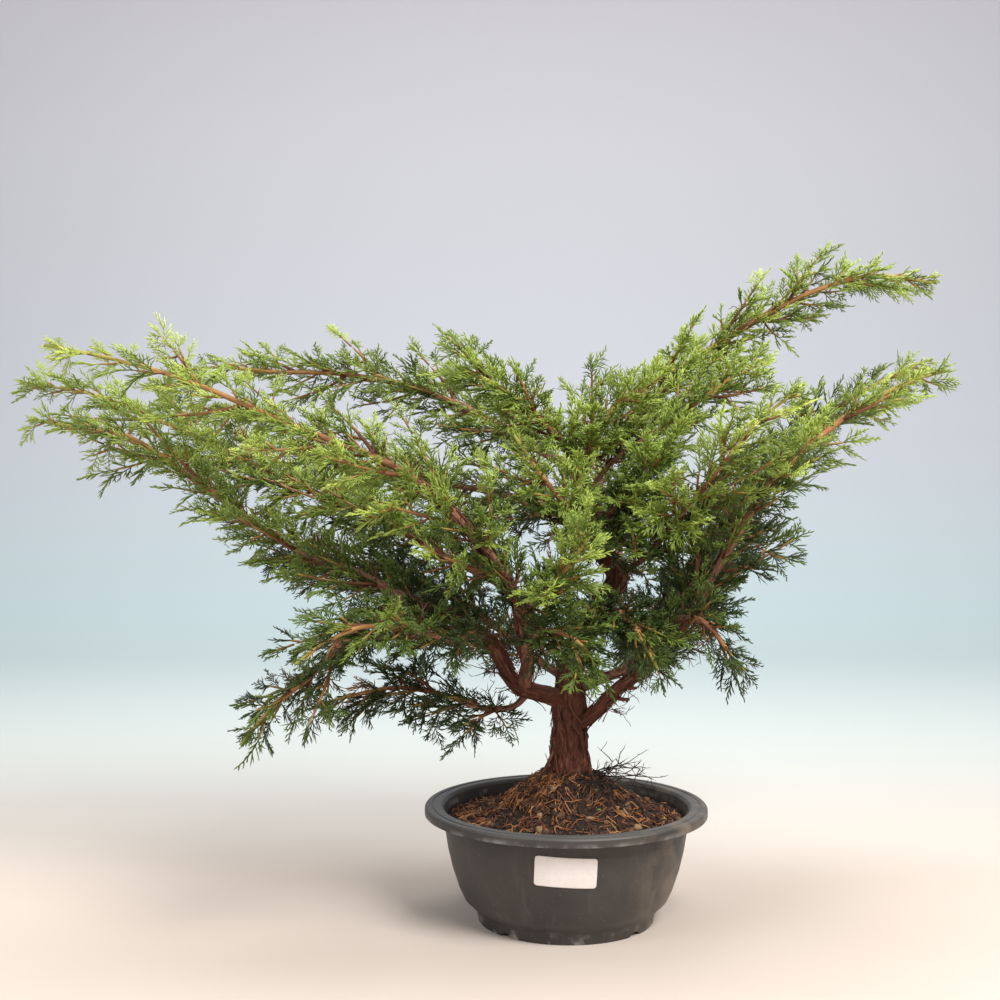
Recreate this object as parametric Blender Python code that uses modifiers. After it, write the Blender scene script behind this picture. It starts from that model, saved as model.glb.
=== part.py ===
"""A bush-shaped juniper bonsai growing in a round plastic training pot.

Everything is in metres with +Z up. The pot stands on Z = 0, and the crown reaches further to the left than
to the right, so the pot's axis stands at POT_AXIS and the whole plant is centred on the origin.
Routes and profiles are written in millimetres from the foot of the pot's axis.
"""

import math
import random

import bmesh
import bpy
from mathutils import Matrix, Vector

MM = 0.001
POT_AXIS = Vector((0.0620, -0.0100, 0.0))

# Pot
RIM_RADIUS = 120.0
RIM_TOP = 98.0
LIP_HEIGHT = 7.5
FLANGE_INNER_RADIUS = 104.5
WALL = 2.0
FOOT_RADIUS = 74.4
FOOT_WIDTH = 3.2
FLOOR_TOP = 12.0
FLOOR_UNDER = 9.5
TURN_STEPS = 48
OFF_THE_FACETS = math.radians(2.3)
DRAIN_RADIUS = 6.0
DRAIN_CIRCLE = 44.0
DRAIN_COUNT = 6
NOTCH_RADIUS = 9.0
NOTCH_HEIGHT = 3.6
NOTCH_COUNT = 4

# Label
LABEL_WIDTH = 50.0
LABEL_LOW = 54.0
LABEL_HIGH = 79.0
LABEL_OFF_CENTRE = math.radians(-2.5)
LABEL_ROWS = 5
LABEL_THICKNESS = 0.35
LABEL_STEPS = 8

# Soil and what lies on it
SOIL_EDGE = 89.0
SOIL_PEAK = 131.0

# Clearance that separate solids keep
GAP = 0.4

# Distance between the rings of a stem or a plume, and how far its cross-section is divided beyond a diamond
TRUNK_SPACING = 20.0
TUBE_SPACING = 24.0
PLUME_SPACING = 27.0
TRUNK_SIDES_STEP = 4
LIMB_SIDES_STEP = 1
PLUME_SIDES_STEP = 2

# Outside of the pot wall below the flange, as (radius, height)
WALL_PROFILE = [(103.5, 88.0), (102.6, 77.0), (100.3, 62.0), (96.5, 46.0), (91.3, 30.0), (86.6, 20.0), (79.5, 13.0)]

# The trunk, from its flare in the soil to the top of the leader: (x, y, z, radius)
TRUNK = [
    (3, 0, 108, 19.0), (3, 0, 130, 15.5), (3, 0, 152, 13.5), (3, 0, 178, 13.5), (3, 1, 199, 11.0),
    (5, 5, 217, 10.0), (23, 14, 253, 9.0), (40, 16, 279, 8.6), (44, 15, 293, 8.2), (33, 10, 310, 7.2),
    (25, 4, 335, 6.6), (15, 0, 368, 6.0), (6, 6, 384, 4.8),
]

# Each limb: name, where its foliage starts along it, the foliage's radius, and its route
LIMBS = [
    ("left_main_limb", 0.42, 33.0, [
        (2, 0, 186, 8.0), (-35, -20, 199, 7.0), (-48, -25, 211, 6.2), (-62, -30, 236, 5.6), (-92, -40, 259, 4.6),
        (-132, -50, 278, 3.6), (-171, -50, 298, 3.2), (-229, -50, 322, 3.0), (-298, -52, 370, 2.4),
        (-354, -52, 408, 2.0), (-400, -48, 417, 1.6), (-440, -45, 424, 1.2),
    ]),
    ("front_left_limb", 0.30, 38.0, [
        (-37, -20, 200, 6.0), (-34, -45, 227, 5.2), (-40, -60, 266, 4.7), (-46, -72, 287, 4.3), (-67, -90, 320, 3.9),
        (-108, -112, 366, 3.3), (-150, -118, 392, 2.8), (-209, -114, 415, 2.4), (-298, -104, 452, 1.9),
        (-360, -96, 470, 1.5), (-414, -88, 481, 1.1),
    ]),
    ("middle_left_limb", 0.25, 38.0, [
        (-46, -70, 285, 3.3), (-68, -52, 296, 3.0), (-106, -36, 314, 2.9), (-150, -20, 337, 2.6), (-226, -2, 369, 2.3),
        (-287, 6, 397, 2.0), (-349, 12, 425, 1.5), (-402, 12, 446, 1.2), (-464, 8, 456, 1.1),
    ]),
    ("low_left_limb", 0.30, 25.0, [
        (-132, -50, 278, 3.6), (-152, -65, 268, 3.2), (-181, -85, 246, 2.8), (-204, -96, 222, 2.2),
        (-235, -100, 196, 1.6), (-259, -104, 168, 1.2),
    ]),
    ("low_inner_limb", 0.30, 30.0, [
        (-78, -36, 249, 2.9), (-94, -66, 246, 2.5), (-124, -104, 258, 2.2), (-160, -132, 264, 1.7),
        (-190, -146, 252, 1.2), (-210, -152, 238, 1.1),
    ]),
    ("bottom_left_limb", 0.30, 25.0, [
        (-33, -18, 196, 2.9), (-46, -22, 184, 2.5), (-74, -34, 186, 2.4), (-105, -28, 196, 2.0), (-145, -20, 200, 1.7),
        (-190, -14, 190, 1.2), (-214, -12, 182, 1.1),
    ]),
    ("top_left_limb", 0.20, 36.0, [
        (6, 6, 382, 4.1), (-17, 28, 396, 3.8), (-42, 50, 411, 3.4), (-83, 74, 435, 3.1), (-134, 90, 456, 2.7),
        (-199, 98, 468, 2.2), (-250, 100, 470, 1.8), (-312, 96, 474, 1.3), (-352, 88, 470, 1.1),
    ]),
    ("back_left_limb", 0.28, 38.0, [
        (27, 6, 322, 4.2), (12, 44, 336, 3.9), (-22, 86, 350, 3.6), (-72, 124, 362, 3.1), (-132, 150, 370, 2.5),
        (-204, 162, 384, 1.9), (-270, 156, 400, 1.4), (-306, 148, 410, 1.1),
    ]),
    ("low_back_left_limb", 0.34, 32.0, [
        (4, 2, 203, 4.0), (-20, 30, 214, 3.7), (-52, 62, 236, 3.2), (-98, 84, 266, 2.7), (-154, 96, 288, 2.1),
        (-216, 92, 300, 1.4), (-262, 84, 300, 1.1),
    ]),
    ("upper_right_limb", 0.26, 36.0, [
        (13, 0, 371, 4.8), (22, 12, 396, 4.4), (56, 28, 421, 4.0), (101, 42, 467, 3.4), (148, 46, 500, 2.8),
        (210, 38, 534, 2.2), (264, 30, 549, 1.6), (318, 22, 542, 1.2),
    ]),
    ("middle_right_limb", 0.30, 32.0, [
        (17, 0, 360, 2.6), (38, -16, 389, 2.4), (64, -28, 408, 2.0), (98, -42, 432, 1.6), (130, -52, 456, 1.2),
        (160, -58, 470, 1.1),
    ]),
    ("thin_right_limb", 0.34, 33.0, [
        (44, 15, 291, 3.2), (64, -22, 309, 2.9), (84, -60, 339, 2.4), (104, -92, 369, 2.0), (126, -114, 400, 1.6),
        (150, -126, 428, 1.2), (174, -128, 446, 1.1),
    ]),
    ("right_low_limb", 0.36, 36.0, [
        (4, 0, 163, 6.3), (20, -10, 174, 5.6), (44, -20, 201, 5.2), (69, -30, 222, 4.8), (90, -40, 255, 4.5),
        (107, -45, 276, 4.2), (132, -55, 322, 3.6), (159, -62, 368, 3.2), (195, -60, 403, 2.6), (230, -56, 430, 2.2),
        (276, -48, 454, 1.6), (312, -40, 464, 1.2),
    ]),
    ("right_back_limb", 0.38, 38.0, [
        (4, 2, 196, 5.1), (25, 20, 200, 4.6), (59, 45, 211, 4.2), (94, 75, 250, 3.7), (126, 92, 294, 3.2),
        (164, 102, 348, 2.7), (210, 104, 402, 2.2), (258, 96, 442, 1.8), (304, 82, 470, 1.3), (330, 74, 480, 1.1),
    ]),
    ("right_hanging_limb", 0.28, 26.0, [
        (90, -40, 255, 3.2), (98, -60, 262, 2.8), (108, -78, 260, 2.4), (120, -94, 246, 1.8), (130, -106, 228, 1.2),
    ]),
    ("back_limb", 0.30, 38.0, [
        (41, 16, 283, 3.8), (48, 52, 298, 3.5), (52, 94, 320, 3.0), (46, 136, 346, 2.4), (34, 164, 372, 1.6),
        (20, 174, 398, 1.1),
    ]),
    ("low_back_right_limb", 0.28, 32.0, [
        (94, 75, 250, 2.9), (116, 108, 262, 2.6), (142, 140, 282, 2.1), (176, 160, 308, 1.4), (204, 168, 328, 1.1),
    ]),
    ("front_limb", 0.30, 30.0, [
        (-40, -60, 264, 2.7), (-30, -92, 276, 2.4), (-16, -126, 296, 1.9), (0, -150, 318, 1.4), (10, -160, 336, 1.1),
    ]),
    ("centre_limb", 0.32, 32.0, [
        (33, 10, 311, 3.2), (20, -24, 328, 2.9), (0, -54, 350, 2.4), (-24, -76, 380, 1.9), (-46, -86, 412, 1.2),
    ]),
    ("right_inner_limb", 0.32, 28.0, [
        (24, 3, 338, 2.9), (44, -24, 352, 2.6), (62, -50, 372, 1.9), (72, -70, 402, 1.1),
    ]),
    ("top_limb", 0.25, 32.0, [
        (8, 4, 380, 3.6), (-4, -24, 404, 3.2), (-28, -44, 428, 2.6), (-58, -56, 450, 2.0), (-90, -58, 466, 1.2),
    ]),
    ("right_front_limb", 0.30, 28.0, [
        (20, 12, 250, 4.4), (27, -20, 262, 3.8), (37, -54, 268, 3.2), (49, -84, 260, 2.6), (60, -106, 242, 1.8),
        (68, -118, 222, 1.2),
    ]),
    ("middle_front_limb", 0.30, 27.0, [
        (-36, -50, 236, 3.4), (-29, -74, 250, 3.0), (-13, -102, 257, 2.4), (5, -122, 250, 1.8), (18, -134, 234, 1.2),
    ]),
    ("crown_limb", 0.26, 30.0, [
        (10, 3, 374, 4.4), (18, -12, 398, 3.8), (30, -20, 420, 3.0), (42, -24, 440, 2.2), (52, -26, 456, 1.2),
    ]),
]

# Dead twigs lying on the soil: name, radius and route
TWIGS = [
    ("dead_twig_right", 1.1, [(22, -22, 142), (34, -30, 146), (50, -36, 135), (66, -40, 124)]),
    ("dead_twig_front", 0.9, [(14, -24, 139), (30, -44, 137), (42, -58, 127), (60, -66, 115)]),
    ("dead_twig_left", 0.9, [(-24, -20, 138), (-40, -30, 135), (-58, -38, 122)]),
]

# Pebbles on the soil: name, place, longest radius
PEBBLES = [
    ("pebble_front", (34, -82), 6.5),
    ("pebble_front_right", (58, -70), 5.0),
    ("pebble_right", (78, -44), 6.0),
    ("pebble_left", (-52, -66), 4.5),
]


def new_collection(name):
    collection = bpy.data.collections.new(name)
    bpy.context.scene.collection.children.link(collection)
    return collection


def material(name, colour, roughness):
    made = bpy.data.materials.new(name)
    made.use_nodes = True
    shader = made.node_tree.nodes["Principled BSDF"]
    shader.inputs["Base Color"].default_value = (*colour, 1.0)
    shader.inputs["Roughness"].default_value = roughness
    shader.inputs["Metallic"].default_value = 0.0
    made.diffuse_color = (*colour, 1.0)
    return made


def place(obj, surface):
    """Stands an object on the pot's axis, gives it its surface and files it with the plant."""
    obj.location = POT_AXIS
    obj.data.materials.clear()
    obj.data.materials.append(surface)
    plant.objects.link(obj)
    bpy.context.view_layer.update()
    return obj


def baked(obj):
    """The object's evaluated shape as a plain mesh object, with its loose caps welded on."""
    graph = bpy.context.evaluated_depsgraph_get()
    mesh = bpy.data.meshes.new_from_object(obj.evaluated_get(graph))
    edit = bmesh.new()
    edit.from_mesh(mesh)
    bmesh.ops.remove_doubles(edit, verts=edit.verts, dist=0.00001)
    bmesh.ops.recalc_face_normals(edit, faces=edit.faces)
    edit.to_mesh(mesh)
    edit.free()
    place_in_world = obj.matrix_world.copy()
    name = obj.name
    bpy.data.objects.remove(obj)
    made = bpy.data.objects.new(name, mesh)
    made.matrix_world = place_in_world
    return made


def keep_main_body(mesh):
    """Drops the crumbs that a cut leaves beside the main body."""
    edit = bmesh.new()
    edit.from_mesh(mesh)
    left = set(edit.verts)
    bodies = []
    while left:
        reached = {left.pop()}
        edge_of_body = list(reached)
        while edge_of_body:
            vertex = edge_of_body.pop()
            for edge in vertex.link_edges:
                other = edge.other_vert(vertex)
                if other in left:
                    left.discard(other)
                    reached.add(other)
                    edge_of_body.append(other)
        bodies.append(reached)
    main = max(bodies, key=len)
    crumbs = [vertex for vertex in edit.verts if vertex not in main]
    bmesh.ops.delete(edit, geom=crumbs, context="VERTS")
    edit.to_mesh(mesh)
    edit.free()


def turned(name, profile, steps=TURN_STEPS, angle=2 * math.pi):
    """A profile of (radius, height) turned about Z. It runs down the outer side, from top to bottom."""
    mesh = bpy.data.meshes.new(name)
    points = [(radius * MM, 0.0, height * MM) for radius, height in profile]
    edges = [(index, index + 1) for index in range(len(points) - 1)]
    mesh.from_pydata(points, edges, [])
    obj = bpy.data.objects.new(name, mesh)
    screw = obj.modifiers.new("Turn", "SCREW")
    screw.axis = "Z"
    screw.angle = angle
    screw.steps = steps
    screw.render_steps = steps
    screw.use_merge_vertices = True
    screw.merge_threshold = 0.00001
    return obj


def smooth_route(points, spacing):
    """Evenly spread points of a Catmull-Rom curve through the given ones, each with its radius."""
    padded = [points[0], *points, points[-1]]
    fine = []
    for index in range(1, len(padded) - 2):
        before, start, end, after = (Vector(padded[index + step]) for step in (-1, 0, 1, 2))
        for part in range(12):
            t = part / 12
            fine.append(0.5 * (
                2 * start + (end - before) * t
                + (2 * before - 5 * start + 4 * end - after) * t * t
                + (3 * start - before - 3 * end + after) * t * t * t
            ))
    fine.append(Vector(points[-1]))
    lengths = [0.0]
    for first, second in zip(fine, fine[1:]):
        lengths.append(lengths[-1] + (second.xyz - first.xyz).length)
    count = max(2, round(lengths[-1] / spacing))
    route = []
    for step in range(count + 1):
        target = lengths[-1] * step / count
        index = next((n for n, length in enumerate(lengths) if length >= target - 1e-6), len(fine) - 1)
        route.append(fine[index])
    return route


def tube(name, route, sides_step, extra=0.0):
    """A tapering tube along a route of (x, y, z, radius), or a copy of it that is fatter by extra."""
    curve = bpy.data.curves.new(name, "CURVE")
    curve.dimensions = "3D"
    curve.bevel_depth = MM
    curve.bevel_resolution = sides_step
    curve.use_fill_caps = True
    spline = curve.splines.new("POLY")
    spline.points.add(len(route) - 1)
    first_end = (route[0].xyz - route[1].xyz).normalized() * extra
    last_end = (route[-1].xyz - route[-2].xyz).normalized() * extra
    for index, point in enumerate(route):
        position = point.xyz
        if index == 0:
            position = position + first_end
        if index == len(route) - 1:
            position = position + last_end
        spline.points[index].co = (*(position * MM), 1.0)
        spline.points[index].radius = point.w + extra
    obj = bpy.data.objects.new(name, curve)
    obj.location = POT_AXIS
    bpy.context.scene.collection.objects.link(obj)
    bpy.context.view_layer.update()
    return baked(obj)


def limits(obj):
    corners = [obj.matrix_world @ vertex.co for vertex in obj.data.vertices]
    low = Vector([min(corner[axis] for corner in corners) for axis in range(3)])
    high = Vector([max(corner[axis] for corner in corners) for axis in range(3)])
    return low, high


def near(first, second):
    low_a, high_a = limits(first)
    low_b, high_b = limits(second)
    return all(low_a[axis] <= high_b[axis] and low_b[axis] <= high_a[axis] for axis in range(3))


def cut(obj, tool):
    """Cuts the tool out of a mesh object at once, and keeps its main body."""
    if not near(obj, tool):
        return
    if tool.name not in tools.objects:
        tools.objects.link(tool)
    tool.hide_render = True
    tool.display_type = "WIRE"
    boolean = obj.modifiers.new("Cut", "BOOLEAN")
    boolean.operation = "DIFFERENCE"
    boolean.object = tool
    bpy.context.view_layer.update()
    graph = bpy.context.evaluated_depsgraph_get()
    mesh = bpy.data.meshes.new_from_object(obj.evaluated_get(graph))
    obj.modifiers.clear()
    obj.data = mesh
    keep_main_body(mesh)


def discard(tool):
    bpy.data.objects.remove(tool)


def soil_height(x, y):
    """Height of the soil mound at a place, in millimetres."""
    reach = min(1.0, math.hypot(x - 3, y) / 101.0)
    return SOIL_EDGE + (SOIL_PEAK - SOIL_EDGE) * (0.5 + 0.5 * math.cos(math.pi * reach)) ** 0.8


def make_pot():
    rim = [
        (FLANGE_INNER_RADIUS - WALL - 0.6, 88.0),
        (FLANGE_INNER_RADIUS - 0.4, RIM_TOP - 2.4),
        (FLANGE_INNER_RADIUS + 2.2, RIM_TOP),
        (RIM_RADIUS - 6.4, RIM_TOP),
        (RIM_RADIUS - 5.8, RIM_TOP - 0.7),
        (RIM_RADIUS - 1.2, RIM_TOP - 0.7),
        (RIM_RADIUS, RIM_TOP - 1.8),
        (RIM_RADIUS, RIM_TOP - LIP_HEIGHT),
        (RIM_RADIUS - WALL, RIM_TOP - LIP_HEIGHT),
        (RIM_RADIUS - WALL, RIM_TOP - WALL - 1.0),
        (WALL_PROFILE[0][0] + 1.6, RIM_TOP - WALL - 1.0),
    ]
    inside = [(radius - WALL, height) for radius, height in reversed(WALL_PROFILE[1:-1])]
    foot = [
        (77.6, 11.0),
        (75.6, 8.0),
        (FOOT_RADIUS, 0.0),
        (FOOT_RADIUS - FOOT_WIDTH, 0.0),
        (FOOT_RADIUS - FOOT_WIDTH, FLOOR_UNDER),
        (0.0, FLOOR_UNDER),
    ]
    floor = [(0.0, FLOOR_TOP), (WALL_PROFILE[-1][0] - WALL - 3.0, FLOOR_TOP), (WALL_PROFILE[-1][0] - 0.6, 15.0)]
    shell = turned("pot", floor + inside + rim + WALL_PROFILE + foot)
    place(shell, POT_PLASTIC)
    plant.objects.unlink(shell)
    bpy.context.scene.collection.objects.link(shell)
    bpy.context.view_layer.update()
    pot = place(baked(shell), POT_PLASTIC)

    centres = [(0.0, 0.0)]
    for index in range(DRAIN_COUNT):
        angle = 2 * math.pi * (index + 0.5) / DRAIN_COUNT + OFF_THE_FACETS
        centres.append((DRAIN_CIRCLE * math.cos(angle), DRAIN_CIRCLE * math.sin(angle)))
    for x, y in centres:
        bpy.ops.mesh.primitive_cylinder_add(vertices=12, radius=DRAIN_RADIUS * MM, depth=20 * MM)
        drill = bpy.context.object
        drill.rotation_euler.z = OFF_THE_FACETS
        drill.location = POT_AXIS + Vector((x, y, FLOOR_TOP)) * MM
        bpy.context.view_layer.update()
        cut(pot, drill)
        discard(drill)

    for index in range(NOTCH_COUNT):
        angle = math.pi / 4 + index * math.pi / 2 + OFF_THE_FACETS
        bpy.ops.mesh.primitive_cylinder_add(vertices=24, radius=NOTCH_RADIUS * MM, depth=16 * MM)
        mill = bpy.context.object
        outwards = Vector((math.cos(angle), math.sin(angle), 0.0))
        centre = outwards * (FOOT_RADIUS - FOOT_WIDTH / 2)
        centre.z = NOTCH_HEIGHT - NOTCH_RADIUS
        mill.rotation_euler = (0.0, math.pi / 2, angle)
        mill.location = POT_AXIS + centre * MM
        bpy.context.view_layer.update()
        cut(pot, mill)
        discard(mill)
    pot.data.shade_smooth()
    pot.data.set_sharp_from_angle(angle=math.radians(30))
    return pot


def wall_radius(height):
    """Outer radius of the pot's wall at a height, between the points of its profile."""
    for (upper_radius, upper), (lower_radius, lower) in zip(WALL_PROFILE, WALL_PROFILE[1:]):
        if lower <= height <= upper:
            share = (height - lower) / (upper - lower)
            return lower_radius + (upper_radius - lower_radius) * share
    raise ValueError(height)


def make_label():
    drop = (LABEL_HIGH - LABEL_LOW) / (LABEL_ROWS - 1)
    heights = [LABEL_HIGH - drop * row for row in range(LABEL_ROWS)]
    profile = [(wall_radius(height) + GAP, height) for height in heights]
    angle = LABEL_WIDTH / wall_radius((LABEL_LOW + LABEL_HIGH) / 2)
    label = turned("pot_label", profile, LABEL_STEPS, angle)
    solidify = label.modifiers.new("Thickness", "SOLIDIFY")
    solidify.thickness = LABEL_THICKNESS * MM
    solidify.offset = 1.0
    place(label, LABEL_PAPER)
    label.rotation_euler.z = -math.pi / 2 - angle / 2 + LABEL_OFF_CENTRE
    return label


def make_soil(trunk_clearance):
    inside = [(radius - WALL - GAP, height) for radius, height in WALL_PROFILE[1:-1]]
    top = []
    for step in range(8):
        radius = (inside[0][0] + 0.4) * step / 7
        top.append((radius, soil_height(radius + 3, 0.0)))
    edge = top.pop()
    bottom = [(WALL_PROFILE[-1][0] - 1.6, 16.0), (WALL_PROFILE[-1][0] - WALL - 4.0, FLOOR_TOP + GAP)]
    profile = top + [(inside[0][0], edge[1])] + inside + bottom + [(0.0, FLOOR_TOP + GAP)]
    mound = turned("soil", profile)
    place(mound, SOIL)
    plant.objects.unlink(mound)
    bpy.context.scene.collection.objects.link(mound)
    bpy.context.view_layer.update()
    soil = place(baked(mound), SOIL)
    cut(soil, trunk_clearance)
    return soil


def foliage_route(route, start, radius, seed):
    """The outer stretch of a limb's route, with the swelling and lumps of the foliage around it."""
    chance = random.Random(seed)
    first = round(start * (len(route) - 1))
    stretch = route[first:]
    last = len(stretch) - 1
    swollen = []
    for index, point in enumerate(stretch):
        share = index / last
        swell = math.sin(math.pi * (0.10 + 0.78 * share)) ** 0.7
        lump = chance.uniform(0.86, 1.12)
        swollen.append(Vector((*point.xyz, radius * swell * lump)))
    return swollen


def sides_of(stem):
    return TRUNK_SIDES_STEP if stem == "trunk" else LIMB_SIDES_STEP


def cut_clear(obj, name, route, sides_step):
    """Cuts a slightly fatter copy of a tube out of an object."""
    tool = tube(name + "_clearance", route, sides_step, GAP)
    cut(obj, tool)
    discard(tool)


def make_wood():
    stems = {"trunk": smooth_route(TRUNK, TRUNK_SPACING)}
    wood = {"trunk": place(tube("trunk", stems["trunk"], TRUNK_SIDES_STEP), BARK)}
    for name, _, _, points in LIMBS:
        stems[name] = smooth_route(points, TUBE_SPACING)
        limb = place(tube(name, stems[name], LIMB_SIDES_STEP), BARK)
        for other in wood:
            cut_clear(limb, other, stems[other], sides_of(other))
        wood[name] = limb
    return stems, wood


def make_foliage(stems, wood):
    plumes = {}
    for seed, (name, start, radius, _) in enumerate(LIMBS):
        fine = smooth_route([tuple(point) for point in stems[name]], PLUME_SPACING)
        plumes[name] = foliage_route(fine, start, radius, seed)
    finished = []
    for name, plume_route in plumes.items():
        plume = place(tube(name.replace("_limb", "_foliage"), plume_route, PLUME_SIDES_STEP), FOLIAGE)
        for other, route in stems.items():
            if other != name:
                cut_clear(plume, other, route, sides_of(other))
        for other in finished:
            cut_clear(plume, other, plumes[other], PLUME_SIDES_STEP)
        cut_clear(wood[name], name, plume_route, PLUME_SIDES_STEP)
        finished.append(name)


def make_litter():
    for name, radius, points in TWIGS:
        route = smooth_route([(*point, radius) for point in points], 9.0)
        place(tube(name, route, 1), DEAD_WOOD)
    for index, (name, (x, y), radius) in enumerate(PEBBLES):
        bpy.ops.mesh.primitive_ico_sphere_add(subdivisions=2, radius=1.0)
        pebble = bpy.context.object
        pebble.name = name
        size = Vector((radius, radius * 0.8, radius * 0.55)) * MM
        pebble.data.transform(Matrix.Diagonal((*size, 1.0)))
        bpy.context.collection.objects.unlink(pebble)
        place(pebble, PEBBLE)
        pebble.rotation_euler.z = 0.9 * index
        pebble.location = POT_AXIS + Vector((x, y, soil_height(x, y) + radius * 0.9)) * MM


for leftover in list(bpy.data.objects):
    bpy.data.objects.remove(leftover)

plant = new_collection("bonsai_tree_in_pot")
tools = new_collection("cutters")

POT_PLASTIC = material("pot_plastic", (0.075, 0.062, 0.055), 0.55)
LABEL_PAPER = material("label_paper", (0.78, 0.72, 0.70), 0.7)
SOIL = material("soil", (0.11, 0.055, 0.035), 0.95)
BARK = material("bark", (0.27, 0.12, 0.07), 0.85)
FOLIAGE = material("foliage", (0.16, 0.27, 0.05), 0.7)
DEAD_WOOD = material("dead_wood", (0.03, 0.022, 0.018), 0.8)
PEBBLE = material("pebble", (0.42, 0.27, 0.16), 0.8)

make_pot()
make_label()
all_stems, all_wood = make_wood()
trunk_tool = tube("trunk_clearance", all_stems["trunk"], TRUNK_SIDES_STEP, GAP)
make_soil(trunk_tool)
discard(trunk_tool)
make_foliage(all_stems, all_wood)
make_litter()
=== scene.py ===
# %% [markdown]
# # A juniper bonsai in a round training pot
#
# A bush-shaped juniper grows in a dark plastic training pot. The solids of the pot, the soil, the wood and the
# outlines of the foliage are made already and come in as a frame. This lesson gives them their looks: thousands of
# scale-leaf shoots, flaky bark, loose soil under dead needles, and dusty plastic.

# %% Load the frame
import math

import bmesh
import bpy
import numpy as np
from mathutils import Matrix, Vector, noise


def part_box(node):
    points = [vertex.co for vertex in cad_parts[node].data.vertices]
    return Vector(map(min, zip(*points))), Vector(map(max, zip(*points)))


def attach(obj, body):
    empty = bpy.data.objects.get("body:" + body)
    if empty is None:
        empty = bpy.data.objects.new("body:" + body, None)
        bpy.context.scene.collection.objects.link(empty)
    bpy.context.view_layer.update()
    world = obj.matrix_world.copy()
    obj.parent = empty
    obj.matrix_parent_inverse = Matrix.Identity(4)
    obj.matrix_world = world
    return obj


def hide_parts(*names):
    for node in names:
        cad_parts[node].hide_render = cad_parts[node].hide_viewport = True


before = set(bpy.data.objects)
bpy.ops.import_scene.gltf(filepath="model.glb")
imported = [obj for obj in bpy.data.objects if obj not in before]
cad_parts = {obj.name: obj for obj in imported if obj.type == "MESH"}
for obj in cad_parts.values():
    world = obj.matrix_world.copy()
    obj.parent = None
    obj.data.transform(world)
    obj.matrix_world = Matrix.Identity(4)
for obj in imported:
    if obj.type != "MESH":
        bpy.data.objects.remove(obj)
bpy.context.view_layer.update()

MM = 0.001
pot_low, pot_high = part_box("pot")
AXIS = Vector(((pot_low.x + pot_high.x) / 2, (pot_low.y + pot_high.y) / 2, 0.0))
RIM_RADIUS = (pot_high.x - pot_low.x) / 2 / MM
RIM_TOP = pot_high.z / MM
print("frame:", len(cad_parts), "nodes, rim", round(RIM_RADIUS * 2), "mm across")

# %% [markdown]
# ## Camera, floor and light
#
# The plant stands under large soft lamps in front of a pale backdrop. A floor that sweeps up behind it keeps the
# background smooth, a big soft lamp in front and to the right models the crown, and a weaker one fills from the left.

# %% Camera
CAMERA_LEFT, CAMERA_AWAY, CAMERA_HEIGHT = 0.056, 1.270, 0.396
CAMERA_PITCH = 88.22
LENS, FILM_WIDTH = 54.0, 36.0


def show(thing):
    bpy.context.scene.collection.objects.link(thing)
    return thing


camera_data = bpy.data.cameras.new("camera")
camera_data.lens = LENS
camera_data.sensor_width = FILM_WIDTH
camera = show(bpy.data.objects.new("camera", camera_data))
camera.location = (AXIS.x - CAMERA_LEFT, AXIS.y - CAMERA_AWAY, CAMERA_HEIGHT)
camera.rotation_euler = (math.radians(CAMERA_PITCH), 0.0, 0.0)
bpy.context.scene.camera = camera
bpy.context.scene.view_settings.view_transform = "Standard"
print("camera", round((camera.location - AXIS).length, 2), "m from the pot")


# %% Making a material and its nodes
def new_material(name, roughness=0.6):
    surface = bpy.data.materials.new(name)
    surface.use_nodes = True
    shader = surface.node_tree.nodes["Principled BSDF"]
    shader.inputs["Roughness"].default_value = roughness
    return surface, surface.node_tree, shader


def put(tree, kind, **settings):
    """A new node. A setting named after a socket sets the socket, and any other sets the node itself."""
    node = tree.nodes.new(kind)
    for key, value in settings.items():
        socket = key.replace("_", " ")
        if socket in node.inputs:
            node.inputs[socket].default_value = value
        else:
            setattr(node, key, value)
    return node


# %% Colours and masks from nodes
def ramp(tree, source, stops):
    """A colour ramp with (place, (r, g, b)) stops."""
    node = put(tree, "ShaderNodeValToRGB")
    elements = node.color_ramp.elements
    while len(elements) < len(stops):
        elements.new(0.5)
    for element, (place, colour) in zip(elements, stops):
        element.position = place
        element.color = (*colour, 1.0)
    tree.links.new(source, node.inputs["Fac"])
    return node.outputs["Color"]


def band(tree, source, low, high):
    """0 below low, 1 above high."""
    node = put(tree, "ShaderNodeMapRange")
    node.inputs["From Min"].default_value = low
    node.inputs["From Max"].default_value = high
    tree.links.new(source, node.inputs["Value"])
    return node.outputs["Result"]


def feed(tree, value, socket):
    """Links a socket's value on, or sets a colour or a number."""
    if isinstance(value, bpy.types.NodeSocket):
        tree.links.new(value, socket)
    else:
        socket.default_value = (*value, 1.0) if isinstance(value, tuple) else value


def blend_colours(tree, mask, first, second):
    """first where the mask is 0, second where it is 1. Each is a socket or a colour."""
    node = put(tree, "ShaderNodeMix", data_type="RGBA", blend_type="MIX")
    for number, value in ((0, mask), (6, first), (7, second)):
        feed(tree, value, node.inputs[number])
    return node.outputs[2]


def reckon(tree, kind, first, second):
    """A sum, product or comparison of two values, each a socket or a number."""
    node = put(tree, "ShaderNodeMath", operation=kind)
    feed(tree, first, node.inputs[0])
    feed(tree, second, node.inputs[1])
    return node.outputs[0]


def components(tree, vector):
    """The X, Y and Z of a vector."""
    split = put(tree, "ShaderNodeSeparateXYZ")
    tree.links.new(vector, split.inputs[0])
    return split.outputs


def paint(tree, shader, colour):
    tree.links.new(colour, shader.inputs["Base Color"])


def bump(tree, shader, height, strength, distance):
    node = put(tree, "ShaderNodeBump", Strength=strength, Distance=distance)
    tree.links.new(height, node.inputs["Height"])
    tree.links.new(node.outputs["Normal"], shader.inputs["Normal"])


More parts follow.
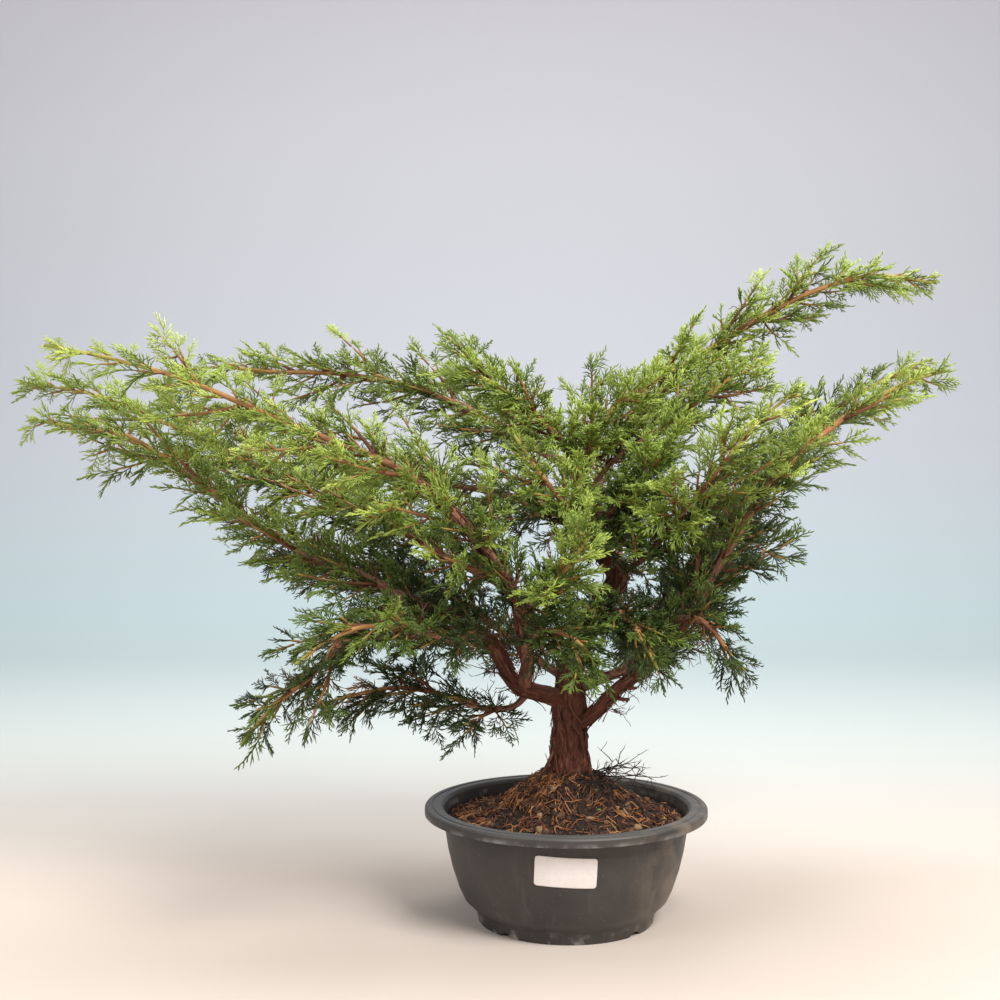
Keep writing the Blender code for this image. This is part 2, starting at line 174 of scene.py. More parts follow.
# %% Floor and backdrop
def make_backdrop():
    """A floor that bends up into a wall behind the plant, coloured by how far up or back a place lies."""
    sweep_radius, front, depth, height, width, steps = 1.2, -3.0, 1.6, 3.2, 4.5, 16
    profile = [(front, 0.0), (depth, 0.0)]
    for step in range(1, steps + 1):
        angle = math.pi / 2 * step / steps
        profile.append((depth + sweep_radius * math.sin(angle), sweep_radius * (1 - math.cos(angle))))
    profile.append((depth + sweep_radius, height))
    mesh = bpy.data.meshes.new("backdrop")
    points = [(side * width, y, z) for y, z in profile for side in (-1, 1)]
    faces = [(2 * n, 2 * n + 1, 2 * n + 3, 2 * n + 2) for n in range(len(profile) - 1)]
    mesh.from_pydata(points, [], faces)
    mesh.shade_smooth()
    backdrop = show(bpy.data.objects.new("backdrop", mesh))
    surface, tree, shader = new_material("pale backdrop", 0.85)
    place = components(tree, put(tree, "ShaderNodeNewGeometry").outputs["Position"])
    beyond = reckon(tree, "ADD", place["Y"], place["Z"])
    colour = ramp(tree, band(tree, beyond, 0.0, 5.0), [
        (0.02, (0.61, 0.53, 0.475)), (0.16, (0.60, 0.66, 0.65)), (0.40, (0.60, 0.74, 0.78)),
        (0.62, (0.70, 0.73, 0.81)), (1.0, (0.80, 0.77, 0.82)),
    ])
    paint(tree, shader, colour)
    mesh.materials.append(surface)
    print("backdrop:", len(faces), "faces")


make_backdrop()


# %% Lamps
def soft_lamp(name, place, size, power, tint):
    data = bpy.data.lights.new(name, "AREA")
    data.energy = power
    data.size = size
    data.color = tint
    lamp = show(bpy.data.objects.new(name, data))
    lamp.location = place
    lamp.rotation_euler = (LIT_PLACE - Vector(place)).to_track_quat("-Z", "Y").to_euler()


LIT_PLACE = Vector((0.0, 0.0, 0.28))
WARM, PALE = (1.0, 0.97, 0.92), (1.0, 0.99, 0.97)
soft_lamp("key", (1.0, -1.5, 1.9), 1.15, 84.0, WARM)
soft_lamp("fill", (-1.7, -1.3, 1.3), 1.2, 22.0, PALE)
soft_lamp("top", (0.0, 0.3, 2.3), 1.4, 40.0, PALE)
world = bpy.data.worlds.new("studio")
world.use_nodes = True
world.node_tree.nodes["Background"].inputs["Color"].default_value = (0.92, 0.93, 0.95, 1.0)
world.node_tree.nodes["Background"].inputs["Strength"].default_value = 0.22
bpy.context.scene.world = world
print("studio: 3 lamps")

# %% [markdown]
# ## Node groups that several finishes share
#
# Real surfaces are never one colour. Two effects come back in almost every finish here, so each is built once as a
# group: patches of tone, which bark, soil and stone have, and dust with fine specks, which plastic and paper collect.


# %% A new node group
def new_group(name, inputs, outputs):
    group = bpy.data.node_groups.new(name, "ShaderNodeTree")
    for label, kind, value in inputs:
        socket = group.interface.new_socket(name=label, in_out="INPUT", socket_type=kind)
        if value is not None:
            socket.default_value = value
    for label, kind in outputs:
        group.interface.new_socket(name=label, in_out="OUTPUT", socket_type=kind)
    return group, group.nodes.new("NodeGroupInput"), group.nodes.new("NodeGroupOutput")


# %% Group: patches of tone
def build_patches():
    group, given, result = new_group(
        "patches of tone",
        [("Vector", "NodeSocketVector", None), ("Scale", "NodeSocketFloat", 50.0), ("Detail", "NodeSocketFloat", 4.0),
         ("Low", "NodeSocketFloat", 0.35), ("High", "NodeSocketFloat", 0.65)],
        [("Mask", "NodeSocketFloat"), ("Height", "NodeSocketFloat")],
    )
    cloud = put(group, "ShaderNodeTexNoise", Roughness=0.6)
    for socket in ("Vector", "Scale", "Detail"):
        group.links.new(given.outputs[socket], cloud.inputs[socket])
    spread = put(group, "ShaderNodeMapRange")
    group.links.new(cloud.outputs["Fac"], spread.inputs["Value"])
    group.links.new(given.outputs["Low"], spread.inputs["From Min"])
    group.links.new(given.outputs["High"], spread.inputs["From Max"])
    group.links.new(spread.outputs["Result"], result.inputs["Mask"])
    group.links.new(cloud.outputs["Fac"], result.inputs["Height"])
    return group


# %% Group: fine specks
def build_specks():
    group, given, result = new_group(
        "fine specks",
        [("Vector", "NodeSocketVector", None), ("Scale", "NodeSocketFloat", 300.0), ("Size", "NodeSocketFloat", 0.12)],
        [("Mask", "NodeSocketFloat")],
    )
    cells = put(group, "ShaderNodeTexVoronoi", Randomness=1.0)
    group.links.new(given.outputs["Vector"], cells.inputs["Vector"])
    group.links.new(given.outputs["Scale"], cells.inputs["Scale"])
    inside = reckon(group, "LESS_THAN", cells.outputs["Distance"], given.outputs["Size"])
    split = put(group, "ShaderNodeSeparateColor")
    group.links.new(cells.outputs["Color"], split.inputs[0])
    empty_share = 0.72
    chosen = reckon(group, "GREATER_THAN", split.outputs["Red"], empty_share)
    group.links.new(reckon(group, "MULTIPLY", inside, chosen), result.inputs["Mask"])
    return group


PATCHES = build_patches()
SPECKS = build_specks()
print("groups:", len(bpy.data.node_groups))


# %% Placing a group in a material
def place_vector(tree, stretch=(1.0, 1.0, 1.0)):
    """The place on the object, squeezed or stretched along each axis."""
    where = put(tree, "ShaderNodeTexCoord")
    scale = put(tree, "ShaderNodeMapping")
    scale.inputs["Scale"].default_value = stretch
    tree.links.new(where.outputs["Object"], scale.inputs["Vector"])
    return scale.outputs["Vector"]


def use_group(tree, group, vector, **values):
    node = put(tree, "ShaderNodeGroup", node_tree=group)
    tree.links.new(vector, node.inputs["Vector"])
    for key, value in values.items():
        node.inputs[key].default_value = value
    return node


def tinted(tree, colour, group, vector, over, zone=None, **values):
    """The colour with another over it where the group's mask says so, and only in a zone if one is given."""
    mask = use_group(tree, group, vector, **values).outputs["Mask"]
    if zone is not None:
        mask = reckon(tree, "MULTIPLY", zone, mask)
    return blend_colours(tree, mask, colour, over)


print("materials can now place", PATCHES.name, "and", SPECKS.name)

# %% [markdown]
# ## The pot
#
# A training pot is moulded plastic: a bowl with a broad flange that carries a fine stepped groove, a rolled lip, a
# neck and a foot ring with shallow arched notches, so that water runs out underneath. It is turned from one profile,
# which gives crisp steps all the way round, and the notches and drain holes are cut with Booleans.


# %% Turning a profile
def place_on_axis(name, mesh):
    """A new object whose origin is on the pot's axis, at the table."""
    made = show(bpy.data.objects.new(name, mesh))
    made.location = AXIS
    return made


def turned_mesh(name, profile, steps):
    """The (radius, height) profile in millimetres, turned about the pot's axis."""
    edit = bmesh.new()
    rings = []
    for radius, height in profile:
        if radius < 0.001:
            rings.append([edit.verts.new((0.0, 0.0, height * MM))])
            continue
        ring = []
        for step in range(steps):
            angle = 2 * math.pi * step / steps
            ring.append(edit.verts.new((radius * math.cos(angle) * MM, radius * math.sin(angle) * MM, height * MM)))
        rings.append(ring)
    for upper, lower in zip(rings, rings[1:]):
        for step in range(steps):
            after = (step + 1) % steps
            if len(upper) == 1:
                edit.faces.new((upper[0], lower[step], lower[after]))
            elif len(lower) == 1:
                edit.faces.new((upper[step], lower[0], upper[after]))
            else:
                edit.faces.new((upper[step], lower[step], lower[after], upper[after]))
    bmesh.ops.recalc_face_normals(edit, faces=edit.faces)
    mesh = bpy.data.meshes.new(name)
    edit.to_mesh(mesh)
    edit.free()
    return mesh


# %% Softening a profile's corners
def rounded(profile, radius, parts=4):
    """The profile with each corner replaced by a short curve that starts at most radius before it."""
    soft = [profile[0]]
    for before, corner, after in zip(profile, profile[1:], profile[2:]):
        corner_at = Vector(corner)
        reach_in = min(radius, (Vector(before) - corner_at).length / 2.2)
        reach_out = min(radius, (Vector(after) - corner_at).length / 2.2)
        start = corner_at + (Vector(before) - corner_at).normalized() * reach_in
        end = corner_at + (Vector(after) - corner_at).normalized() * reach_out
        for part in range(parts + 1):
            t = part / parts
            soft.append(tuple(start * (1 - t) ** 2 + corner_at * 2 * t * (1 - t) + end * t * t))
    soft.append(profile[-1])
    return soft


# %% Profile of the pot
WALL_OUTSIDE = [(103.5, 88.0), (102.6, 77.0), (100.3, 62.0), (96.5, 46.0), (91.3, 30.0), (86.6, 20.0), (79.5, 13.0)]
WALL_THICK = 2.0
FLANGE_INSIDE = 104.5
LIP_HEIGHT = 7.5
FOOT_OUTSIDE, FOOT_THICK = 74.4, 3.2
FLOOR_UNDER = 9.5


def pot_profile():
    top, out = RIM_TOP, RIM_RADIUS
    rim = [
        (FLANGE_INSIDE - WALL_THICK - 0.6, 88.0), (FLANGE_INSIDE - 0.6, top - 2.6), (FLANGE_INSIDE + 1.6, top - 0.2),
        (FLANGE_INSIDE + 2.6, top), (out - 7.4, top), (out - 7.0, top - 0.8), (out - 5.6, top - 0.8),
        (out - 5.2, top), (out - 1.4, top - 0.1), (out, top - 1.7), (out, top - LIP_HEIGHT),
        (out - WALL_THICK, top - LIP_HEIGHT), (out - WALL_THICK, top - WALL_THICK - 1.0),
        (WALL_OUTSIDE[0][0] + 1.6, top - WALL_THICK - 1.0),
    ]
    inside = [(radius - WALL_THICK, height) for radius, height in reversed(WALL_OUTSIDE[1:-1])]
    floor = [(0.0, 12.0), (74.5, 12.0), (78.9, 15.0)]
    foot = [(77.4, 11.0), (75.8, 8.4), (FOOT_OUTSIDE, 0.0), (FOOT_OUTSIDE - FOOT_THICK, 0.0),
            (FOOT_OUTSIDE - FOOT_THICK, FLOOR_UNDER), (0.0, FLOOR_UNDER)]
    return rounded(floor + inside + rim + WALL_OUTSIDE + foot, 0.6)


# %% Cutting holes
def cutter(radius, depth, place, turn, corners):
    bpy.ops.mesh.primitive_cylinder_add(vertices=corners, radius=radius * MM, depth=depth * MM)
    tool = bpy.context.object
    tool.rotation_euler = turn
    tool.location = AXIS + Vector(place) * MM
    return tool


def cut_away(piece, tool):
    boolean = piece.modifiers.new("cut", "BOOLEAN")
    boolean.object = tool
    boolean.operation = "DIFFERENCE"
    bpy.context.view_layer.update()
    graph = bpy.context.evaluated_depsgraph_get()
    piece.data = bpy.data.meshes.new_from_object(piece.evaluated_get(graph))
    piece.modifiers.clear()
    bpy.data.objects.remove(tool)


def finish_piece(piece, surface, slot, *nodes):
    """Gives a piece its finish, sets it on the plant's one body and hides the solids that it stands for, if any."""
    piece.data.materials.clear()
    piece.data.materials.append(surface)
    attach(piece, "root")
    if nodes:
        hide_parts(*nodes)


# %% [markdown]
# ### Dusty plastic
#
# The plastic is nearly black, but it never looks so: dust and a painted sheen of the light from above lie on every
# ledge that faces up, hard water leaves lime at the foot and a pale line under the lip, and painted light falls in
# patches on the right side, where the key lamp is. Each is a mask from the shared groups, kept to its own zone of
# heights or widths.


# %% Finish of the pot
def plastic_surface():
    surface, tree, shader = new_material("dusty plastic", 0.5)
    here = place_vector(tree)
    place = components(tree, here)
    cloud = use_group(tree, PATCHES, here, Scale=14.0, Detail=6.0, Low=0.35, High=0.7)
    colour = blend_colours(tree, cloud.outputs["Mask"], (0.022, 0.0200, 0.0195), (0.050, 0.043, 0.038))
    upright = place_vector(tree, (60.0, 60.0, 4.0))
    colour = tinted(tree, colour, PATCHES, upright, (0.068, 0.058, 0.050), Scale=1.6, Detail=5.0, Low=0.55, High=0.8)
    # ledges that face up are painted a paler bluish grey: partly dust, partly a painted sheen of the light from above
    facing = components(tree, put(tree, "ShaderNodeNewGeometry").outputs["Normal"])
    dust_and_sheen = reckon(tree, "MULTIPLY", band(tree, facing["Z"], 0.35, 0.95), 0.42)
    colour = blend_colours(tree, dust_and_sheen, colour, (0.135, 0.140, 0.135))
    colour = tinted(tree, colour, SPECKS, here, (0.16, 0.14, 0.12), Scale=360.0, Size=0.12)
    foot = band(tree, place["Z"], 0.012, 0.002)
    lime = {"Scale": 55.0, "Detail": 9.0, "Low": 0.53, "High": 0.68}
    colour = tinted(tree, colour, PATCHES, here, (0.30, 0.28, 0.25), foot, **lime)
    low_enough, high_enough = band(tree, place["Z"], 0.0945, 0.0905), band(tree, place["Z"], 0.0885, 0.0900)
    under_lip = reckon(tree, "MULTIPLY", low_enough, high_enough)
    scale_line = {"Scale": 42.0, "Detail": 9.0, "Low": 0.50, "High": 0.66}
    colour = tinted(tree, colour, PATCHES, here, (0.22, 0.22, 0.215), under_lip, **scale_line)
    # painted light: warm pale patches on the right side of the pot, where the warm key lamp falls
    right = band(tree, place["X"], 0.035, 0.085)
    painted_light_patches = {"Scale": 36.0, "Detail": 8.0, "Low": 0.42, "High": 0.70}
    light_patch_place = place_vector(tree, (1.0, 1.0, 0.55))
    colour = tinted(tree, colour, PATCHES, light_patch_place, (0.185, 0.145, 0.115), right, **painted_light_patches)
    paint(tree, shader, colour)
    rough = put(tree, "ShaderNodeMapRange")
    rough.inputs["To Min"].default_value = 0.38
    rough.inputs["To Max"].default_value = 0.62
    tree.links.new(cloud.outputs["Height"], rough.inputs["Value"])
    tree.links.new(rough.outputs["Result"], shader.inputs["Roughness"])
    grain = use_group(tree, PATCHES, here, Scale=900.0, Detail=3.0)
    bump(tree, shader, grain.outputs["Height"], 0.12, 0.0004)
    return surface


# %% Make the pot
DRAIN_RADIUS, DRAIN_CIRCLE = 6.0, 44.0
NOTCH_RADIUS, NOTCH_HEIGHT = 9.0, 3.6
SLIP = math.radians(2.3)  # a small turn, so that no cut meets the corners of the turned rings


def make_pot():
    pot = place_on_axis("training_pot", turned_mesh("training_pot", pot_profile(), 180))
    drains = [(0.0, 0.0)]
    for index in range(6):
        angle = 2 * math.pi * (index + 0.5) / 6 + SLIP
        drains.append((DRAIN_CIRCLE * math.cos(angle), DRAIN_CIRCLE * math.sin(angle)))
    for x, y in drains:
        cut_away(pot, cutter(DRAIN_RADIUS, 20.0, (x, y, 12.0), (0.0, 0.0, SLIP), 32))
    for index in range(4):
        angle = math.pi / 4 + index * math.pi / 2 + SLIP
        middle = FOOT_OUTSIDE - FOOT_THICK / 2
        place = (middle * math.cos(angle), middle * math.sin(angle), NOTCH_HEIGHT - NOTCH_RADIUS)
        cut_away(pot, cutter(NOTCH_RADIUS, 16.0, place, (0.0, math.pi / 2, angle), 64))
    pot.data.shade_smooth()
    pot.data.set_sharp_from_angle(angle=math.radians(32))
    finish_piece(pot, plastic_surface(), "pot_plastic", "pot")
    print("pot:", len(pot.data.polygons), "faces")


make_pot()

# %% [markdown]
# ## The label
#
# A blank paper label with round corners is stuck to the wall. It is a flat grid wrapped round the cone of the wall, so
# that its corners stay round, with a little thickness.


# %% Radius of the wall and finish of the label
def wall_radius(height):
    for (upper_radius, upper), (lower_radius, lower) in zip(WALL_OUTSIDE, WALL_OUTSIDE[1:]):
        if lower <= height <= upper:
            share = (height - lower) / (upper - lower)
            return lower_radius + (upper_radius - lower_radius) * share
    return WALL_OUTSIDE[0][0]


def label_surface():
    surface, tree, shader = new_material("blank label", 0.42)
    here = place_vector(tree)
    colour = tinted(tree, (0.76, 0.70, 0.68), PATCHES, here, (0.82, 0.77, 0.75), Scale=60.0, Detail=4.0)
    paint(tree, shader, tinted(tree, colour, SPECKS, here, (0.42, 0.37, 0.33), Scale=520.0, Size=0.16))
    return surface


# %% Make the label
def make_label():
    low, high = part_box("pot_label")
    middle = (low.z + high.z) / 2 / MM
    half_tall = (high.z - low.z) / 2 / MM
    half_wide, corner, columns, rows, proud = 25.0, 2.6, 48, 14, 0.35
    off_centre, tilt = math.radians(-2.5), math.radians(2.8)
    points, faces = [], []
    for row in range(rows + 1):
        v = 2 * row / rows - 1
        v = math.copysign(1 - (1 - abs(v)) ** 1.4, v) if abs(v) > 0.7 else v
        offset = v * half_tall
        beyond = max(0.0, abs(offset) - (half_tall - corner))
        narrow = corner - math.sqrt(max(0.0, corner * corner - beyond * beyond))
        for column in range(columns + 1):
            u = (2 * column / columns - 1) * (half_wide - narrow)
            height = middle + offset * math.cos(tilt) - u * math.sin(tilt)
            radius = wall_radius(height) + proud
            angle = -math.pi / 2 + off_centre + (u * math.cos(tilt) + offset * math.sin(tilt)) / radius
            points.append((radius * math.cos(angle) * MM, radius * math.sin(angle) * MM, height * MM))
    for row in range(rows):
        for column in range(columns):
            first = row * (columns + 1) + column
            faces.append((first, first + 1, first + columns + 2, first + columns + 1))
    mesh = bpy.data.meshes.new("blank_label")
    mesh.from_pydata(points, [], faces)
    label = place_on_axis("blank_label", mesh)
    thick = label.modifiers.new("paper", "SOLIDIFY")
    thick.thickness = 0.25 * MM
    thick.offset = 1.0
    mesh.shade_smooth()
    mesh.set_sharp_from_angle(angle=math.radians(40))
    finish_piece(label, label_surface(), "label_paper", "pot_label")
    print("label:", 2 * half_wide, "x", round(2 * half_tall, 1), "mm")


make_label()

# %% [markdown]
# ## Cords: the one shape that shoots, twigs and roots share
#
# A scale-leaf shoot is a thin green cord that ends in a point, and so is a twig or a fine root. One function makes
# such a cord from its line, and a small class gathers thousands of them into one mesh. Each cord also writes a place
# on a colour chart: across the chart goes the tone, from deep green to yellow-green, and up the chart goes the age of
# the growth, from brown wood to the fresh tip. The finish then reads its colour from that chart.



# %% Gathering cords into one mesh
class Growth:
    """Points, triangles and chart places of many cords, gathered for one mesh."""

    def __init__(self):
        self.points, self.faces, self.chart, self.count = [], [], [], 0

    def add(self, points, faces, chart):
        self.points.append(points)
        self.faces.append(faces + self.count)
        self.chart.append(chart)
        self.count += len(points)

    def gathered(self):
        return np.concatenate(self.points), np.concatenate(self.faces), np.concatenate(self.chart)

    def to_object(self, name):
        points, faces, chart = self.gathered()
        mesh = bpy.data.meshes.new(name)
        mesh.vertices.add(len(points))
        mesh.vertices.foreach_set("co", points.astype(np.float32).ravel())
        mesh.loops.add(len(faces) * 3)
        mesh.loops.foreach_set("vertex_index", faces.astype(np.int32).ravel())
        mesh.polygons.add(len(faces))
        mesh.polygons.foreach_set("loop_start", np.arange(0, len(faces) * 3, 3, dtype=np.int32))
        mesh.update(calc_edges=True)
        layer = mesh.uv_layers.new(name="OFBake")
        layer.data.foreach_set("uv", chart.astype(np.float32).ravel())
        mesh.validate()
        mesh.shade_smooth()
        return place_on_axis(name, mesh)


def unit(vectors):
    return vectors / np.maximum(np.linalg.norm(vectors, axis=-1, keepdims=True), 1e-9)


# %% One cord
CHART_STEP = 0.004


def cord(line, radii, ages, tone, sides=3):
    """A cord along a line of points in metres, with a radius and an age at each, that closes in a point."""
    line, radii, ages = np.asarray(line, float), np.asarray(radii, float), np.asarray(ages, float)
    rings = len(line) - 1
    along = unit(np.gradient(line, axis=0))
    guide = np.array([0.0, 0.0, 1.0]) if abs(along[0, 2]) < 0.85 else np.array([1.0, 0.0, 0.0])
    across = unit(np.cross(along, guide))
    other = np.cross(along, across)
    turn = 2 * np.pi * np.arange(sides) / sides
    ring = np.cos(turn)[None, :, None] * across[:rings, None] + np.sin(turn)[None, :, None] * other[:rings, None]
    points = (line[:rings, None] + ring * radii[:rings, None, None]).reshape(-1, 3)
    points = np.vstack([points, line[-1]])
    faces, chart = [], []
    for level in range(rings - 1):
        for side in range(sides):
            after = (side + 1) % sides
            a, b = level * sides + side, level * sides + after
            c, d = a + sides, b + sides
            u, v = tone + side * CHART_STEP, tone + (side + 1) * CHART_STEP
            low, high = ages[level], ages[level + 1]
            faces += [(a, d, b), (a, c, d)]
            chart += [(u, low), (v, high), (v, low), (u, low), (u, high), (v, high)]
    for side in range(sides):
        after = (side + 1) % sides
        base = (rings - 1) * sides
        u, v = tone + side * CHART_STEP, tone + (side + 1) * CHART_STEP
        faces.append((base + side, len(points) - 1, base + after))
        chart += [(u, ages[-2]), ((u + v) / 2, ages[-1]), (v, ages[-2])]
    return points, np.array(faces), np.array(chart)


print("cords are ready")

# %% [markdown]
# ## Sprays
#
# The shoots of a juniper fork again and again in a loose plane: a central shoot with side shoots left and right, which
# carry shorter ones. All of them lean forwards. A handful of different sprays is grown once from one seeded chance,
# and then they are set along the twigs thousands of times, turned and scaled.

# %% Lines that bend, and points on them
def curved_line(start, heading, length, bend_towards, bend, count):
    """Points from start along a heading that turns towards another direction on the way."""
    line = [np.array(start, float)]
    for step in range(count - 1):
        t = (step + 0.5) / (count - 1)
        direction = unit(heading + bend_towards * bend * t)
        line.append(line[-1] + direction * length / (count - 1))
    return np.array(line)


def point_on(line, share):
    """The point at a share of a line's points, and the number of the point before it."""
    knot = min(share, 0.999) * (len(line) - 1)
    before = int(knot)
    return line[before] + (line[before + 1] - line[before]) * (knot - before), before


def swung(heading, angle, lift):
    """The heading turned in the XY plane and lifted out of it."""
    x = heading[0] * math.cos(angle) - heading[1] * math.sin(angle)
    y = heading[0] * math.sin(angle) + heading[1] * math.cos(angle)
    return unit(np.array([x, y, heading[2] + lift]))


# %% One spray
SHOOT_RADIUS = 0.57 * MM


def grow_spray(chance, length, reach, pitch):
    """One spray in its own frame: along +X, spread in the XY plane, in metres."""
    growth = Growth()
    forward = np.array([1.0, 0.0, 0.0])
    bow = np.array([0.0, chance.normal(0, 0.22), chance.normal(-0.15, 0.2)])
    axis = curved_line((0, 0, 0), forward, length, bow, 1.0, 7)
    growth.add(*cord(axis, np.linspace(1.05, 0.9, 7) * SHOOT_RADIUS, np.linspace(0.42, 0.97, 7), 0.0))
    side = chance.choice([-1, 1])
    reached = pitch * 0.8
    while reached < length * 0.95:
        t = reached / length
        side = -side
        base, _ = point_on(axis, t)
        spread = math.radians(chance.uniform(38, 54) - 14 * t)
        tilt = chance.normal(0, 0.34)
        out = np.array([0.0, side * math.cos(tilt), math.sin(tilt)])
        heading = math.cos(spread) * forward + math.sin(spread) * out
        fullness = (0.70 + 0.30 * math.sin(math.pi * min(1.0, 1.7 * t))) * (1.0 - 0.60 * t ** 1.7)
        shoot_length = reach * fullness * chance.uniform(0.72, 1.15)
        shoot = curved_line(base, heading, shoot_length, forward, 0.35, 3)
        growth.add(*cord(shoot, np.array([0.95, 0.95, 0]) * SHOOT_RADIUS, (0.58, 0.82, 1.0), 0.0))
        fingers = int(chance.integers(1, 4)) if shoot_length > 6.0 * MM else int(chance.integers(0, 2))
        for finger in range(fingers):
            part = 0.10 + 0.50 * (finger + chance.uniform(0.1, 0.9)) / max(fingers, 1)
            start, _ = point_on(shoot, part)
            swing = side * (-1 if finger % 2 == 0 else 1) * math.radians(chance.uniform(20, 34))
            finger_length = shoot_length * (0.96 - 0.5 * part) * chance.uniform(0.8, 1.15)
            way = swung(heading, swing, chance.normal(0, 0.18))
            tip = curved_line(start, way, finger_length, heading, 0.3, 3)
            growth.add(*cord(tip, np.array([0.9, 0.9, 0]) * SHOOT_RADIUS, (0.66, 0.84, 1.0), 0.0))
        reached += pitch * chance.uniform(0.8, 1.2)
    return growth.gathered()


# %% Grow the spray patterns
PATTERN_COUNT = 7


def grow_patterns():
    """Several patterns of each size, given as length, reach of the side shoots and gap between them."""
    chance = np.random.default_rng(11)
    sizes = {"long": (44, 15.5, 2.6), "middle": (31, 13.5, 2.5), "short": (19, 10.5, 2.4), "fine": (34, 17.5, 2.7)}
    patterns = {}
    for size, (length, reach, pitch) in sizes.items():
        patterns[size] = [grow_spray(chance, length * MM, reach * MM, pitch * MM) for _ in range(PATTERN_COUNT)]
    return patterns


PATTERNS = grow_patterns()
print("sprays:", {size: len(found[0][1]) for size, found in PATTERNS.items()}, "triangles each")


# %% Setting a spray in place
def set_spray(growth, pattern, place, heading, normal, scale, tone):
    """Adds a spray pattern that starts at a place and runs along a heading, with its own tone."""
    points, faces, chart = pattern
    x_axis = unit(heading)
    y_axis = unit(np.cross(normal, x_axis))
    z_axis = np.cross(x_axis, y_axis)
    turned = points * scale @ np.array([x_axis, y_axis, z_axis]) + place
    placed = chart.copy()
    placed[:, 0] += tone
    placed[:, 1] = np.clip(placed[:, 1], 0.02, 1.0) * 0.96 + 0.02
    growth.add(turned, faces, placed)


# %% [markdown]
# ## The limbs' routes
#
# The wood of each limb follows the same route as its solid, so that the two stay in one place, and then runs on
# through the foliage to the limb's tip. Routes are in millimetres from the foot of the pot's axis, and the fourth
# number is the wood's radius.

